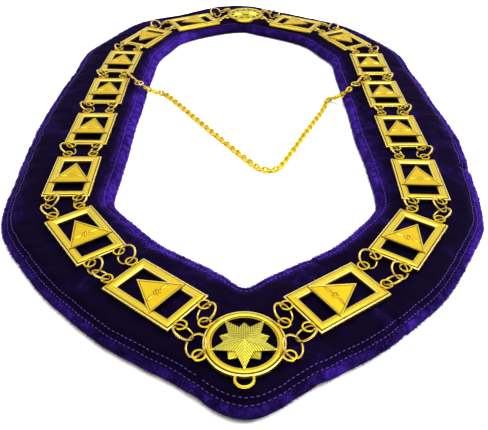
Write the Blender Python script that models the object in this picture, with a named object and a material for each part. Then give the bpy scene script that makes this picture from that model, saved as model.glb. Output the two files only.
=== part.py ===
# Chain of office: gilt pierced plates, medallions and jump rings lying on a padded velvet collar.
# Metres, +Z up. The collar lies flat with its front point toward -Y and the nape toward +Y.
import math

import bmesh
import bpy
from mathutils import Matrix, Vector

MM = 0.001

# Link plates
PLATE_LENGTH = 38.0 * MM
PLATE_WIDTH = 24.3 * MM
PLATE_THICK = 2.6 * MM
RAIL_WIDTH = 4.6 * MM
LEDGE_WIDTH = 0.9 * MM
LEDGE_DROP = 0.5 * MM
TIP_DROP = 0.4 * MM
TRIANGLE_HALF_BASE = 10.6 * MM
TRIANGLE_BASE_Y = -7.5 * MM
TRIANGLE_APEX_Y = 10.8 * MM
TRIANGLE_UNDER = 0.6 * MM
TRIANGLE_RIM = 0.8 * MM
TRIANGLE_RISE = 0.5 * MM
FIELD_DROP = 0.35 * MM
BOSS_RADIUS = 1.7 * MM
BOSS_RISE = 0.4 * MM
LEAF_LENGTH = 4.4 * MM
LEAF_WIDTH = 1.9 * MM

# Cast eyes
EYE_OUTER = 2.8 * MM
EYE_HOLE = 2.0 * MM
EYE_THICK = 0.8 * MM
EYE_REACH = 2.15 * MM
EYE_SPREAD = 7.0 * MM
EYE_HEIGHT = 2.25 * MM
EYE_SIDES = 7

# Jump rings
RING_RADIUS = 4.5 * MM
RING_WIRE = 0.45 * MM
RING_ROLL = math.radians(35.0)
RING_SLIDE = 0.5 * MM
RING_REACH = 0.8 * MM
RING_CHORD = 0.975
PAIR_BITE = 0.6 * MM
RING_SEGMENTS = 10
RING_SIDES = 5

# Medallions
FRONT_RADIUS = 16.0 * MM
BACK_RADIUS = 15.4 * MM
MEDALLION_BAND = 3.5 * MM
MEDALLION_EYE_REACH = 2.15 * MM
FRONT_INNER_EYE = math.radians(31.0)
FRONT_OUTER_EYE = math.radians(22.0)
BACK_INNER_EYE = math.radians(31.0)
BACK_OUTER_EYE = math.radians(24.0)
MEDALLION_SEGMENTS = 24
PENDANT_LOOP_RADIUS = 3.45 * MM
PENDANT_LOOP_WIRE = 0.65 * MM
PENDANT_LOOP_HEIGHT = 1.3 * MM

# Velvet collar
VELVET_THICK = 8.5 * MM
VELVET_OUT = 31.5 * MM
VELVET_IN = 24.0 * MM
SEAT_GAP = 0.3 * MM

# Cross chain and its clasps
CHAIN_WIDTH = 3.2 * MM
CLASP_HEAD = 2.3 * MM
CLASP_TAIL = 1.5 * MM
CLASP_WIRE = 0.6 * MM
CLASP_TILT = math.radians(62.0)
CLASP_SLIP = math.radians(32.0)
END_RING_RADIUS = 2.7 * MM
END_RING_WIRE = 0.45 * MM

# Where the chain runs: for each plate the heading of its length away from the front medallion, in
# degrees above the side direction, and the gap before it as a share of the long link gap.
LINK_GAP = 14.6 * MM
START_HEADING = 30.0
CHAIN_COLUMNS = ("plate", "left_heading", "left_gap", "right_heading", "right_gap")
CHAIN_ROWS = (
    (1, 38.0, 0.74, 34.9, 0.74),
    (2, 53.8, 1.08, 55.9, 1.10),
    (3, 88.7, 1.06, 88.0, 1.06),
    (4, 90.1, 0.93, 90.9, 0.93),
    (5, 89.9, 0.92, 91.1, 0.84),
    (6, 93.2, 0.73, 91.0, 0.72),
    (7, 115.3, 0.87, 118.6, 0.90),
    (8, 152.1, 0.97, 151.7, 0.97),
)
NAPE_PLATES = (7, 8)
REVERSED_PLATES = (7, 8)
NAPE_GAP = 13.1 * MM
NAPE_RISE = 11.0 * MM

# Velvet edge beside the chain, as shares of VELVET_OUT and VELVET_IN.
EDGE_COLUMNS = ("station", "left_out", "left_in", "right_out", "right_in")
EDGE_ROWS = (
    ("front", 0.90, 1.47, 0.90, 1.47),
    ("plate_1", 0.89, 1.22, 0.86, 1.22),
    ("gap_2", 0.92, 1.13, 0.85, 1.15),
    ("plate_2", 0.99, 1.02, 0.87, 1.04),
    ("gap_3", 1.03, 0.93, 0.92, 0.96),
    ("plate_3", 1.03, 0.95, 0.99, 0.97),
    ("plate_4", 1.13, 0.99, 1.12, 1.07),
    ("plate_5", 1.11, 0.99, 1.07, 1.03),
    ("plate_6", 1.06, 0.98, 0.98, 1.05),
    ("gap_7", 1.07, 0.96, 0.96, 1.02),
    ("plate_7", 1.07, 0.90, 0.95, 1.00),
    ("gap_8", 1.12, 0.80, 0.95, 0.93),
    ("plate_8", 1.04, 0.66, 0.97, 0.76),
    ("gap_9", 1.28, 0.62, 1.02, 0.68),
    ("nape", 1.16, 0.72, 1.16, 0.72),
)
EDGE_STEPS = 2

# Route of the cross chain, chosen by hand: across, along and height of its middle in millimetres,
# across and along from the middle of the plates, height above the table.
CHAIN_ROUTE = (
    (-67.2, 35.6, 9.6),
    (-63.4, 37.4, 6.3),
    (-60.4, 42.2, 2.9),
    (-57.0, 44.2, 1.75),
    (-52.6, 39.0, 1.7),
    (-24.6, -4.3, 1.7),
    (5.2, -48.6, 1.7),
    (8.9, -52.4, 1.7),
    (13.6, -53.8, 1.7),
    (18.6, -52.2, 1.7),
    (22.9, -44.6, 1.7),
    (37.2, -11.9, 1.7),
    (52.9, 24.2, 1.7),
    (54.7, 31.8, 1.75),
    (57.8, 35.4, 2.0),
    (61.2, 32.6, 4.6),
    (65.4, 29.2, 8.6),
    (69.4, 31.8, 10.6),
)
ROUTE_MIDDLE = 188.1 * MM
ROUTE_SPACING = 2.0 * CHAIN_WIDTH
LEFT_CLASP_HEADING = math.radians(-56.0)
RIGHT_CLASP_HEADING = math.radians(-118.0)
LEFT_CLASP_LENGTH = 15.5 * MM
RIGHT_CLASP_LENGTH = 11.5 * MM

GOLD = dict(color=(0.83, 0.58, 0.11, 1.0), metallic=1.0, roughness=0.28)
VELVET = dict(color=(0.020, 0.010, 0.075, 1.0), metallic=0.0, roughness=0.95)


def clear_scene():
    for obj in list(bpy.data.objects):
        bpy.data.objects.remove(obj, do_unlink=True)


def make_material(name, color, metallic, roughness):
    material = bpy.data.materials.new(name)
    material.use_nodes = True
    shader = material.node_tree.nodes["Principled BSDF"]
    shader.inputs["Base Color"].default_value = color
    shader.inputs["Metallic"].default_value = metallic
    shader.inputs["Roughness"].default_value = roughness
    return material


def mesh_from(name, verts, faces):
    mesh = bpy.data.meshes.new(name)
    mesh.from_pydata([tuple(v) for v in verts], [], faces)
    bm = bmesh.new()
    bm.from_mesh(mesh)
    bmesh.ops.recalc_face_normals(bm, faces=bm.faces)
    bm.to_mesh(mesh)
    bm.free()
    return mesh


def loft_loops(name, loops, closed_loops=True):
    """Closed body from loops of equal length; the last loop joins the first, or both ends are capped."""
    count = len(loops[0])
    verts = [point for loop in loops for point in loop]
    faces = []
    rows = len(loops) if closed_loops else len(loops) - 1
    for row in range(rows):
        here = row * count
        there = ((row + 1) % len(loops)) * count
        for i in range(count):
            j = (i + 1) % count
            faces.append((here + i, here + j, there + j, there + i))
    if not closed_loops:
        faces.append(tuple(range(count)))
        faces.append(tuple(range(len(verts) - count, len(verts))))
    return mesh_from(name, verts, faces)


def union(name, meshes):
    """One mesh from overlapping closed meshes."""
    base = bpy.data.objects.new(name, meshes[0])
    bpy.context.collection.objects.link(base)
    tools = []
    for mesh in meshes[1:]:
        tool = bpy.data.objects.new(mesh.name, mesh)
        bpy.context.collection.objects.link(tool)
        tools.append(tool)
        modifier = base.modifiers.new("join", "BOOLEAN")
        modifier.operation = "UNION"
        modifier.solver = "EXACT"
        modifier.object = tool
    bpy.context.view_layer.update()
    evaluated = base.evaluated_get(bpy.context.evaluated_depsgraph_get())
    result = bpy.data.meshes.new_from_object(evaluated)
    result.name = name
    for tool in tools:
        bpy.data.objects.remove(tool, do_unlink=True)
    bpy.data.objects.remove(base, do_unlink=True)
    return result


def place(name, mesh, material, matrix=None, smooth=False):
    obj = bpy.data.objects.new(name, mesh)
    bpy.context.collection.objects.link(obj)
    mesh.materials.clear()
    mesh.materials.append(material)
    if smooth:
        mesh.shade_smooth()
        mesh.set_sharp_from_angle(angle=math.radians(40.0))
    if matrix is not None:
        obj.matrix_world = matrix
    return obj


def wire_ring(name, centre, along, across, radius, wire, segments, sides, start=0.0, sweep=math.tau):
    """Round wire bent in the plane of along and across: a whole ring, or an open arc with flat ends."""
    normal = along.cross(across)
    whole = sweep >= math.tau
    steps = segments if whole else segments + 1
    loops = []
    for i in range(steps):
        turn = start + sweep * i / segments
        spoke = along * math.cos(turn) + across * math.sin(turn)
        loop = []
        for k in range(sides):
            beta = math.tau * k / sides
            loop.append(centre + spoke * (radius + wire * math.cos(beta)) + normal * (wire * math.sin(beta)))
        loops.append(loop)
    return loft_loops(name, loops, whole)


def cast_eye(name, centre):
    """Flat cast ring that a jump ring passes through."""
    loops = []
    for i in range(EYE_SIDES):
        turn = math.tau * (i + 0.5) / EYE_SIDES
        spoke = Vector((math.cos(turn), math.sin(turn), 0.0))
        rise = Vector((0.0, 0.0, EYE_THICK / 2.0))
        loops.append([
            centre + spoke * EYE_OUTER + rise,
            centre + spoke * EYE_HOLE + rise,
            centre + spoke * EYE_HOLE - rise,
            centre + spoke * EYE_OUTER - rise,
        ])
    return loft_loops(name, loops)


def plate_eyes():
    """Middles of a plate's four eyes in its own frame, keyed by end and side."""
    return {
        (end, side): Vector((side * EYE_SPREAD, end * (PLATE_LENGTH / 2.0 + EYE_REACH), EYE_HEIGHT))
        for end in (-1, 1) for side in (-1, 1)
    }


def plate_mesh():
    """Pierced plate: stepped frame, raised triangle over the window, boss with two leaves, four eyes."""
    profile = (
        (0.0, 0.0),
        (0.0, PLATE_THICK - LEDGE_DROP),
        (LEDGE_WIDTH, PLATE_THICK - LEDGE_DROP),
        (LEDGE_WIDTH * 1.2, PLATE_THICK),
        (RAIL_WIDTH, PLATE_THICK),
        (RAIL_WIDTH, 0.0),
    )
    loops = []
    for inset, height in profile:
        half_x = PLATE_WIDTH / 2.0 - inset
        half_y = PLATE_LENGTH / 2.0 - inset
        corners = ((1, 1), (-1, 1), (-1, -1), (1, -1))
        loops.append([Vector((sx * half_x, sy * half_y, height)) for sx, sy in corners])
    parts = [loft_loops("plate_frame", loops)]

    corners = (
        Vector((-TRIANGLE_HALF_BASE, TRIANGLE_BASE_Y, 0.0)),
        Vector((TRIANGLE_HALF_BASE, TRIANGLE_BASE_Y, 0.0)),
        Vector((0.0, TRIANGLE_APEX_Y, 0.0)),
    )
    sides = [(corners[(i + 1) % 3] - corners[(i + 2) % 3]).length for i in range(3)]
    middle = sum((corners[i] * sides[i] for i in range(3)), Vector()) / sum(sides)
    inradius = middle.y - TRIANGLE_BASE_Y
    top = PLATE_THICK + TRIANGLE_RISE

    def triangle(inset, height):
        share = 1.0 - inset / inradius
        return [middle + (corner - middle) * share + Vector((0.0, 0.0, height)) for corner in corners]

    field = top - FIELD_DROP
    loops = [
        triangle(0.0, TRIANGLE_UNDER),
        triangle(0.0, top),
        triangle(TRIANGLE_RIM, field),
    ]
    parts.append(loft_loops("plate_triangle", loops, closed_loops=False))

    boss_y = middle.y
    sunk = field - BOSS_RISE
    boss = [
        [Vector((radius * math.cos(a), boss_y + radius * math.sin(a), height))
         for a in (math.tau * k / 6.0 for k in range(6))]
        for radius, height in ((BOSS_RADIUS, sunk), (BOSS_RADIUS * 0.7, field + BOSS_RISE))
    ]
    parts.append(loft_loops("plate_boss", boss, closed_loops=False))
    for side in (-1, 1):
        root = side * BOSS_RADIUS * 1.15
        leaf = []
        for width, height in ((1.0, sunk), (0.6, field + BOSS_RISE * 0.8)):
            mid_x = root + side * LEAF_LENGTH / 2.0
            mid_y = boss_y - LEAF_WIDTH * 0.5
            leaf.append([
                Vector((mid_x + side * LEAF_LENGTH / 2.0 * width, mid_y - LEAF_WIDTH * 0.25, height)),
                Vector((mid_x, mid_y + LEAF_WIDTH / 2.0 * width, height)),
                Vector((mid_x - side * LEAF_LENGTH / 2.0 * width, mid_y + LEAF_WIDTH * 0.25, height)),
                Vector((mid_x, mid_y - LEAF_WIDTH / 2.0 * width, height)),
            ])
        parts.append(loft_loops("plate_leaf", leaf, closed_loops=False))

    for centre in plate_eyes().values():
        parts.append(cast_eye("plate_eye", centre))
    return union("link_plate", parts)


def star_mesh(name, tips, valley, under, centre_height, valley_height, start):
    """Ridged star: tips is a repeating list of radius and height, with a valley between neighbours."""
    points = len(tips)
    rim = []
    for i, (radius, height) in enumerate(tips):
        turn = start + math.tau * i / points
        rim.append(Vector((radius * math.cos(turn), radius * math.sin(turn), height)))
        turn += math.pi / points
        rim.append(Vector((valley * math.cos(turn), valley * math.sin(turn), valley_height)))
    count = len(rim)
    foot = [Vector((v.x, v.y, under)) for v in rim]
    verts = rim + foot + [Vector((0.0, 0.0, centre_height)), Vector((0.0, 0.0, under))]
    faces = []
    for i in range(count):
        j = (i + 1) % count
        faces.append((i, j, 2 * count))
        faces.append((j, i, count + i, count + j))
        faces.append((count + j, count + i, 2 * count + 1))
    return mesh_from(name, verts, faces)


def medallion_eyes(radius, front_angle, back_angle):
    """Middles of a medallion's four eyes in its own frame, keyed by hand and side."""
    reach = radius + MEDALLION_EYE_REACH
    return {
        (hand, side): Vector((hand * reach * math.cos(angle), side * reach * math.sin(angle), EYE_HEIGHT))
        for hand in (-1, 1) for side, angle in ((-1, front_angle), (1, back_angle))
    }


def medallion_mesh(name, radius, eyes, star, extra=()):
    """Turned ring with a stepped band, a ridged star inside it and four eyes."""
    inner = radius - MEDALLION_BAND
    profile = (
        (radius, 0.0),
        (radius, PLATE_THICK - LEDGE_DROP),
        (radius - LEDGE_WIDTH * 1.5, PLATE_THICK - LEDGE_DROP),
        (radius - LEDGE_WIDTH * 2.0, PLATE_THICK),
        (inner, PLATE_THICK),
        (inner, 0.0),
    )
    loops = []
    for i in range(MEDALLION_SEGMENTS):
        turn = math.tau * i / MEDALLION_SEGMENTS
        loops.append([Vector((r * math.cos(turn), r * math.sin(turn), z)) for r, z in profile])
    parts = [loft_loops(name + "_band", loops), star]
    parts.extend(extra)
    for centre in eyes.values():
        parts.append(cast_eye(name + "_eye", centre))
    return union(name, parts)


def front_star():
    inner = FRONT_RADIUS - MEDALLION_BAND
    long_tip = (inner + MEDALLION_BAND * 0.28, PLATE_THICK - TIP_DROP)
    short_tip = (inner * 0.81, PLATE_THICK - TIP_DROP)
    return star_mesh("front_star", [long_tip, short_tip] * 5, inner * 0.625, TRIANGLE_UNDER,
                     PLATE_THICK + 0.9 * MM, PLATE_THICK - 0.9 * MM, -math.pi / 2.0)


def back_star():
    inner = BACK_RADIUS - MEDALLION_BAND
    tip = (inner + MEDALLION_BAND * 0.2, PLATE_THICK - TIP_DROP)
    return star_mesh("back_star", [tip] * 12, inner * 0.86, TRIANGLE_UNDER,
                     PLATE_THICK + 0.7 * MM, PLATE_THICK - 0.8 * MM, -math.pi / 2.0)


def pendant_loop():
    """Half loop soldered to the front of the front medallion, where a jewel hangs."""
    centre = Vector((0.0, -FRONT_RADIUS - PENDANT_LOOP_WIRE, PENDANT_LOOP_HEIGHT))
    return wire_ring("pendant_loop", centre, Vector((1.0, 0.0, 0.0)), Vector((0.0, 1.0, 0.0)),
                     PENDANT_LOOP_RADIUS, PENDANT_LOOP_WIRE, 10, 6, math.radians(-205.0), math.radians(230.0))


def heading_vector(hand, degrees):
    angle = math.radians(degrees)
    return Vector((hand * math.cos(angle), math.sin(angle), 0.0))


def walk_side(hand, nape_turn):
    """Places one side's plates by stepping gap, plate, gap, plate from the front medallion."""
    first = "left_heading" if hand < 0 else "right_heading"
    second = "left_gap" if hand < 0 else "right_gap"
    at = Vector((0.0, 0.0, 0.0))
    heading = START_HEADING
    reach = FRONT_RADIUS
    plates = []
    for values in CHAIN_ROWS:
        row = dict(zip(CHAIN_COLUMNS, values))
        turn = row[first] + (nape_turn if row["plate"] in NAPE_PLATES else 0.0)
        at = at + heading_vector(hand, (heading + turn) / 2.0) * (reach + row[second] * LINK_GAP)
        along = heading_vector(hand, turn)
        plates.append((row["plate"], at + along * PLATE_LENGTH / 2.0, along))
        at = at + along * PLATE_LENGTH
        heading = turn
        reach = 0.0
    return plates, at


def close_chain():
    """Turns the plates at the nape until both sides meet the back medallion."""
    wanted = 2.0 * math.sqrt((BACK_RADIUS + NAPE_GAP) ** 2 - NAPE_RISE ** 2)
    low, high = -25.0, 25.0
    for _ in range(50):
        turn = (low + high) / 2.0
        left, left_end = walk_side(-1, turn)
        right, right_end = walk_side(1, turn)
        if (right_end - left_end).x > wanted:
            low = turn
        else:
            high = turn
    middle = (left_end + right_end) / 2.0
    across = (right_end - left_end).normalized()
    back = Vector((-across.y, across.x, 0.0))
    return left, right, middle + back * NAPE_RISE, across


def edge_stations(hand, plates, back_centre):
    """Points on the chain's middle line with the direction away from the neck, in the order of EDGE_ROWS."""
    def outward(along):
        return Vector((hand * along.y, -hand * along.x, 0.0))

    stations = {"front": (Vector(), Vector((0.0, -1.0, 0.0))), "nape": (back_centre, Vector((0.0, 1.0, 0.0)))}
    for number, centre, along in plates:
        stations[f"plate_{number}"] = (centre, outward(along))
    for (_, before, before_along), (number, after, after_along) in zip(plates, plates[1:]):
        middle = (before + before_along * PLATE_LENGTH / 2.0 + after - after_along * PLATE_LENGTH / 2.0) / 2.0
        stations[f"gap_{number}"] = (middle, outward((before_along + after_along).normalized()))
    _, last, last_along = plates[-1]
    toward = (back_centre - last).normalized()
    stations["gap_9"] = ((last + last_along * PLATE_LENGTH / 2.0 + back_centre) / 2.0, outward(toward))
    return stations


def smooth_curve(points, steps):
    """Points of a smooth curve through the given ones, steps to each stretch."""
    padded = [points[0] * 2.0 - points[1], *points, points[-1] * 2.0 - points[-2]]
    out = []
    for p0, p1, p2, p3 in zip(padded, padded[1:], padded[2:], padded[3:]):
        k0, k1, k2 = ((after - before).length ** 0.5 for before, after in ((p0, p1), (p1, p2), (p2, p3)))
        leave = ((p1 - p0) / k0 - (p2 - p0) / (k0 + k1) + (p2 - p1) / k1) * k1
        arrive = ((p2 - p1) / k1 - (p3 - p1) / (k1 + k2) + (p3 - p2) / k2) * k1
        for i in range(steps):
            t = i / steps
            out.append(p1 * (2.0 * t ** 3 - 3.0 * t ** 2 + 1.0) + leave * (t ** 3 - 2.0 * t ** 2 + t)
                       + p2 * (3.0 * t ** 2 - 2.0 * t ** 3) + arrive * (t ** 3 - t ** 2))
    out.append(points[-1])
    return out


def even_curve(points, spacing):
    """The same smooth curve with its points evenly spaced."""
    dense = smooth_curve(points, 12)
    lengths = [0.0]
    for before, after in zip(dense, dense[1:]):
        lengths.append(lengths[-1] + (after - before).length)
    count = max(2, round(lengths[-1] / spacing))
    out = []
    k = 0
    for i in range(count + 1):
        wanted = lengths[-1] * i / count
        while k < len(dense) - 2 and lengths[k + 1] < wanted:
            k += 1
        share = (wanted - lengths[k]) / (lengths[k + 1] - lengths[k])
        out.append(dense[k].lerp(dense[k + 1], share))
    return out


def collar_edges(left, right, back_centre):
    """Outer and inner outline of the velvet, from the front point round the left side and back."""
    outlines = []
    for column, direction, margin in (("out", 1.0, VELVET_OUT), ("in", -1.0, VELVET_IN)):
        halves = []
        for hand, plates, side in ((-1, left, "left"), (1, right, "right")):
            stations = edge_stations(hand, plates, back_centre)
            points = []
            for values in EDGE_ROWS:
                row = dict(zip(EDGE_COLUMNS, values))
                at, away = stations[row["station"]]
                points.append(at + away * direction * margin * row[f"{side}_{column}"])
            halves.append(points)
        nape = (halves[0][-1] + halves[1][-1]) / 2.0
        loop = halves[0][:-1] + [nape] + halves[1][-2::-1]
        outlines.append(smooth_curve(loop, EDGE_STEPS)[:-1])
    return outlines


def collar_mesh(outer, inner):
    """Padded band between two outlines: flat above and below, with full round edges."""
    radius = VELVET_THICK / 2.0
    loops = []
    for far, near in zip(outer, inner):
        span = far - near
        width = span.length
        way = span / width
        profile = (
            (radius * 0.8, 0.0), (0.0, VELVET_THICK * 0.3), (radius * 0.12, VELVET_THICK * 0.72),
            (radius, VELVET_THICK), (width - radius, VELVET_THICK),
            (width - radius * 0.12, VELVET_THICK * 0.72), (width, VELVET_THICK * 0.3), (width - radius * 0.8, 0.0),
        )
        loops.append([near + way * s + Vector((0.0, 0.0, z)) for s, z in profile])
    return loft_loops("velvet_collar", loops)


def ring_pose(a, b, free, rings):
    """Radius, run, raised direction, offsets of the ring middles along the run and to the raised side."""
    apart = (b - a).length
    along = (b - a) / apart
    level = (free - along * free.dot(along)).normalized()
    wanted = (apart + 2.0 * RING_SLIDE + (PAIR_BITE if rings == 2 else 0.0)) / rings
    radius = min(RING_RADIUS, wanted / (2.0 * RING_CHORD))
    chord = 2.0 * RING_CHORD * radius
    slide = (rings * chord - (PAIR_BITE if rings == 2 else 0.0) - apart) / 2.0
    return radius, along, level, chord / 2.0 - slide, radius * math.sqrt(1.0 - RING_CHORD ** 2)


def rolled(level, roll):
    return level * math.cos(roll) + Vector((0.0, 0.0, math.sin(roll)))


def link_mesh(name, a, b, free):
    """One jump ring, or two linked ones where the eyes are too far apart for one."""
    if (b - a).length <= 2.0 * (RING_CHORD * RING_RADIUS + RING_REACH):
        radius, along, level, offset, drop = ring_pose(a, b, free, 1)
        across = rolled(level, RING_ROLL)
        return wire_ring(name, a + along * offset + across * drop, along, across, radius, RING_WIRE,
                         RING_SEGMENTS, RING_SIDES)
    radius, along, level, offset, drop = ring_pose(a, b, free, 2)
    rings = []
    for start, run, side in ((a, along, level), (b, -along, -level)):
        across = rolled(side, RING_ROLL)
        rings.append(wire_ring(name, start + run * offset + across * drop, run, across, radius, RING_WIRE,
                               RING_SEGMENTS, RING_SIDES))
    return union(name, rings)


def clasp_mesh(name, head, heading, length, tilt_side):
    """Long closed link standing on its edge, thicker in the middle: head loop, body and tail loop."""
    along = Vector((math.cos(heading), math.sin(heading), 0.0))
    level = Vector((-along.y, along.x, 0.0)) * tilt_side
    across = level * math.cos(CLASP_TILT) + Vector((0.0, 0.0, math.sin(CLASP_TILT)))
    fall = Vector((0.0, 0.0, -(CLASP_HEAD - CLASP_TAIL) * math.sin(CLASP_TILT)))
    tail = head + along * length + fall
    normal = along.cross(across)
    outline = []
    for centre, radius, start in ((head, CLASP_HEAD, math.pi / 2.0), (tail, CLASP_TAIL, -math.pi / 2.0)):
        for i in range(6):
            turn = start + math.pi * i / 5.0
            outline.append((centre, along * math.cos(turn) + across * math.sin(turn), radius))
    loops = []
    for centre, spoke, radius in outline:
        loop = []
        for k in range(6):
            beta = math.tau * k / 6.0
            loop.append(centre + spoke * (radius + CLASP_WIRE * math.cos(beta)) + normal * CLASP_WIRE * math.sin(beta))
        loops.append(loop)
    link = loft_loops(name, loops)
    blocks = []
    for share, half in ((0.36, CLASP_HEAD * 0.92), (0.66, CLASP_HEAD * 0.80)):
        at = head.lerp(tail, share)
        blocks.append([at + across * half * sy + normal * CLASP_WIRE * 1.5 * sz
                       for sy, sz in ((1, 1), (-1, 1), (-1, -1), (1, -1))])
    body = loft_loops(name + "_body", blocks, closed_loops=False)
    return union(name, [link, body]), tail, along


def end_ring_mesh(name, tail, along):
    """Ring that joins the clasp's tail to the cross chain."""
    level = Vector((-along.y, along.x, 0.0))
    centre = tail + along * (END_RING_RADIUS - CLASP_WIRE * 0.4)
    return wire_ring(name, centre, along, level, END_RING_RADIUS, END_RING_WIRE, RING_SEGMENTS, RING_SIDES)


def chain_route(origin_shift):
    points = [Vector((x * MM, y * MM + ROUTE_MIDDLE, z * MM)) + origin_shift for x, y, z in CHAIN_ROUTE]
    return even_curve(points, ROUTE_SPACING)


def build():
    clear_scene()
    gold = make_material("gilt_metal", **GOLD)
    velvet = make_material("velvet", **VELVET)

    left, right, back_centre, back_across = close_chain()
    outer, inner = collar_edges(left, right, back_centre)
    xs = [p.x for p in outer]
    ys = [p.y for p in outer]
    shift = Vector((-(min(xs) + max(xs)) / 2.0, -(min(ys) + max(ys)) / 2.0, 0.0))
    seat = Vector((0.0, 0.0, VELVET_THICK + SEAT_GAP))

    place("velvet_collar", collar_mesh([p + shift for p in outer], [p + shift for p in inner]), velvet, smooth=True)

    eyes = {}
    plate = plate_mesh()
    for hand, word, plates in ((-1, "left", left), (1, "right", right)):
        for number, centre, along in plates:
            facing = -along if number in REVERSED_PLATES else along
            turn = Matrix((
                (facing.y, facing.x, 0.0),
                (-facing.x, facing.y, 0.0),
                (0.0, 0.0, 1.0),
            ))
            matrix = Matrix.Translation(centre + shift + seat) @ turn.to_4x4()
            place(f"plate_{word}_{number}", plate, gold, matrix)
            outward = Vector((hand * along.y, -hand * along.x, 0.0))
            for at in plate_eyes().values():
                turned = turn @ at
                eyes[word, number, turned.dot(along) > 0.0, turned.dot(outward) > 0.0] = (matrix @ at, outward)

    front_matrix = Matrix.Translation(shift + seat)
    front_eyes = medallion_eyes(FRONT_RADIUS, FRONT_OUTER_EYE, FRONT_INNER_EYE)
    front = medallion_mesh("front_medallion", FRONT_RADIUS, front_eyes, front_star(), (pendant_loop(),))
    place("front_medallion", front, gold, front_matrix)
    back_turn = Matrix(((back_across.x, -back_across.y, 0.0), (back_across.y, back_across.x, 0.0), (0.0, 0.0, 1.0)))
    back_matrix = Matrix.Translation(back_centre + shift + seat) @ back_turn.to_4x4()
    back_eyes = medallion_eyes(BACK_RADIUS, BACK_INNER_EYE, BACK_OUTER_EYE)
    back = medallion_mesh("back_medallion", BACK_RADIUS, back_eyes, back_star())
    place("back_medallion", back, gold, back_matrix)
    for hand, word in ((-1, "left"), (1, "right")):
        for side in (-1, 1):
            outward = eyes[word, 1, False, True][1]
            eyes[word, 0, True, side < 0] = (front_matrix @ front_eyes[hand, side], outward)
            outward = eyes[word, 8, True, True][1]
            eyes[word, 9, False, side > 0] = (back_matrix @ back_eyes[hand, side], outward)

    ends = {}
    for word in ("left", "right"):
        for number in range(9):
            for outer_side, edge, way in ((False, "inner", -1.0), (True, "outer", 1.0)):
                a, out_a = eyes[word, number, True, outer_side]
                b, out_b = eyes[word, number + 1, False, outer_side]
                name = f"jump_ring_{word}_{number}_{edge}"
                free = (out_a + out_b) * (-1.0 if number == 0 else way)
                place(name, link_mesh(name, a, b, free), gold, smooth=True)
                ends[word, number, edge] = (a, b, free)

    for word, heading, length, lean in (("left", LEFT_CLASP_HEADING, LEFT_CLASP_LENGTH, -1),
                                        ("right", RIGHT_CLASP_HEADING, RIGHT_CLASP_LENGTH, 1)):
        a, b, free = ends[word, 5, "inner"]
        radius, along, level, offset, drop = ring_pose(a, b, free, 1)
        across = rolled(level, RING_ROLL)
        spoke = across * math.cos(CLASP_SLIP) - along * math.sin(CLASP_SLIP)
        head = a + along * offset + across * drop + spoke * radius
        mesh, tail, way = clasp_mesh(f"clasp_{word}", head, heading, length, lean)
        place(f"clasp_{word}", mesh, gold)
        place(f"chain_ring_{word}", end_ring_mesh(f"chain_ring_{word}", tail, way), gold, smooth=True)

    curve = bpy.data.curves.new("cross_chain", "CURVE")
    curve.dimensions = "3D"
    curve.bevel_depth = CHAIN_WIDTH / 2.0
    curve.bevel_resolution = 2
    curve.use_fill_caps = True
    points = chain_route(shift)
    spline = curve.splines.new("POLY")
    spline.points.add(len(points) - 1)
    for point, at in zip(spline.points, points):
        point.co = (at.x, at.y, at.z, 1.0)
    curve.materials.append(gold)
    chain = bpy.data.objects.new("cross_chain", curve)
    bpy.context.collection.objects.link(chain)


build()
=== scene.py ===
import math

import bmesh
import bpy
import numpy as np
from mathutils import Matrix, Vector, noise


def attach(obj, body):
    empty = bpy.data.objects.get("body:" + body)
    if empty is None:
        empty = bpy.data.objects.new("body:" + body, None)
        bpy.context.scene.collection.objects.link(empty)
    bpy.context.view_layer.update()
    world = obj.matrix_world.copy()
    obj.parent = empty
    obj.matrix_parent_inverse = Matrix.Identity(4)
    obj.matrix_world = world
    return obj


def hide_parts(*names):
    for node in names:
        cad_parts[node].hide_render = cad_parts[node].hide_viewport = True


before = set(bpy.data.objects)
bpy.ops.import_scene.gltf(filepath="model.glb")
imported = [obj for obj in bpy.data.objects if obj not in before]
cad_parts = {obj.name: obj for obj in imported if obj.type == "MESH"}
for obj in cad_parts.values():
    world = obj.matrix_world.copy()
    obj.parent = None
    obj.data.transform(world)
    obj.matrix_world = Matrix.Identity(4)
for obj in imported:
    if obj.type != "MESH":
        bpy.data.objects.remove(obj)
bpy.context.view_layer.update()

# Camera. The chain lies on a table and is seen from the front and above, as if by someone standing at the
# table's edge. The view leans a little to one side.
MM = 0.001
camera_data = bpy.data.cameras.new("table_edge_camera")
camera_data.sensor_width = 36.0
camera_data.lens = 44.69
camera_data.clip_start = 0.01
camera = bpy.data.objects.new("table_edge_camera", camera_data)
bpy.context.collection.objects.link(camera)
look_down = math.radians(36.97)
lean = math.radians(0.27)
ahead = Vector((0.0, math.cos(look_down), -math.sin(look_down)))
level_right = Vector((1.0, 0.0, 0.0))
camera_right = level_right * math.cos(lean) + level_right.cross(ahead) * math.sin(lean)
camera_up = camera_right.cross(ahead)
camera.matrix_world = Matrix.Translation((-0.0006, -0.3428, 0.1869)) @ Matrix(
    (camera_right, camera_up, -ahead)).transposed().to_4x4()
bpy.context.scene.camera = camera


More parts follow.
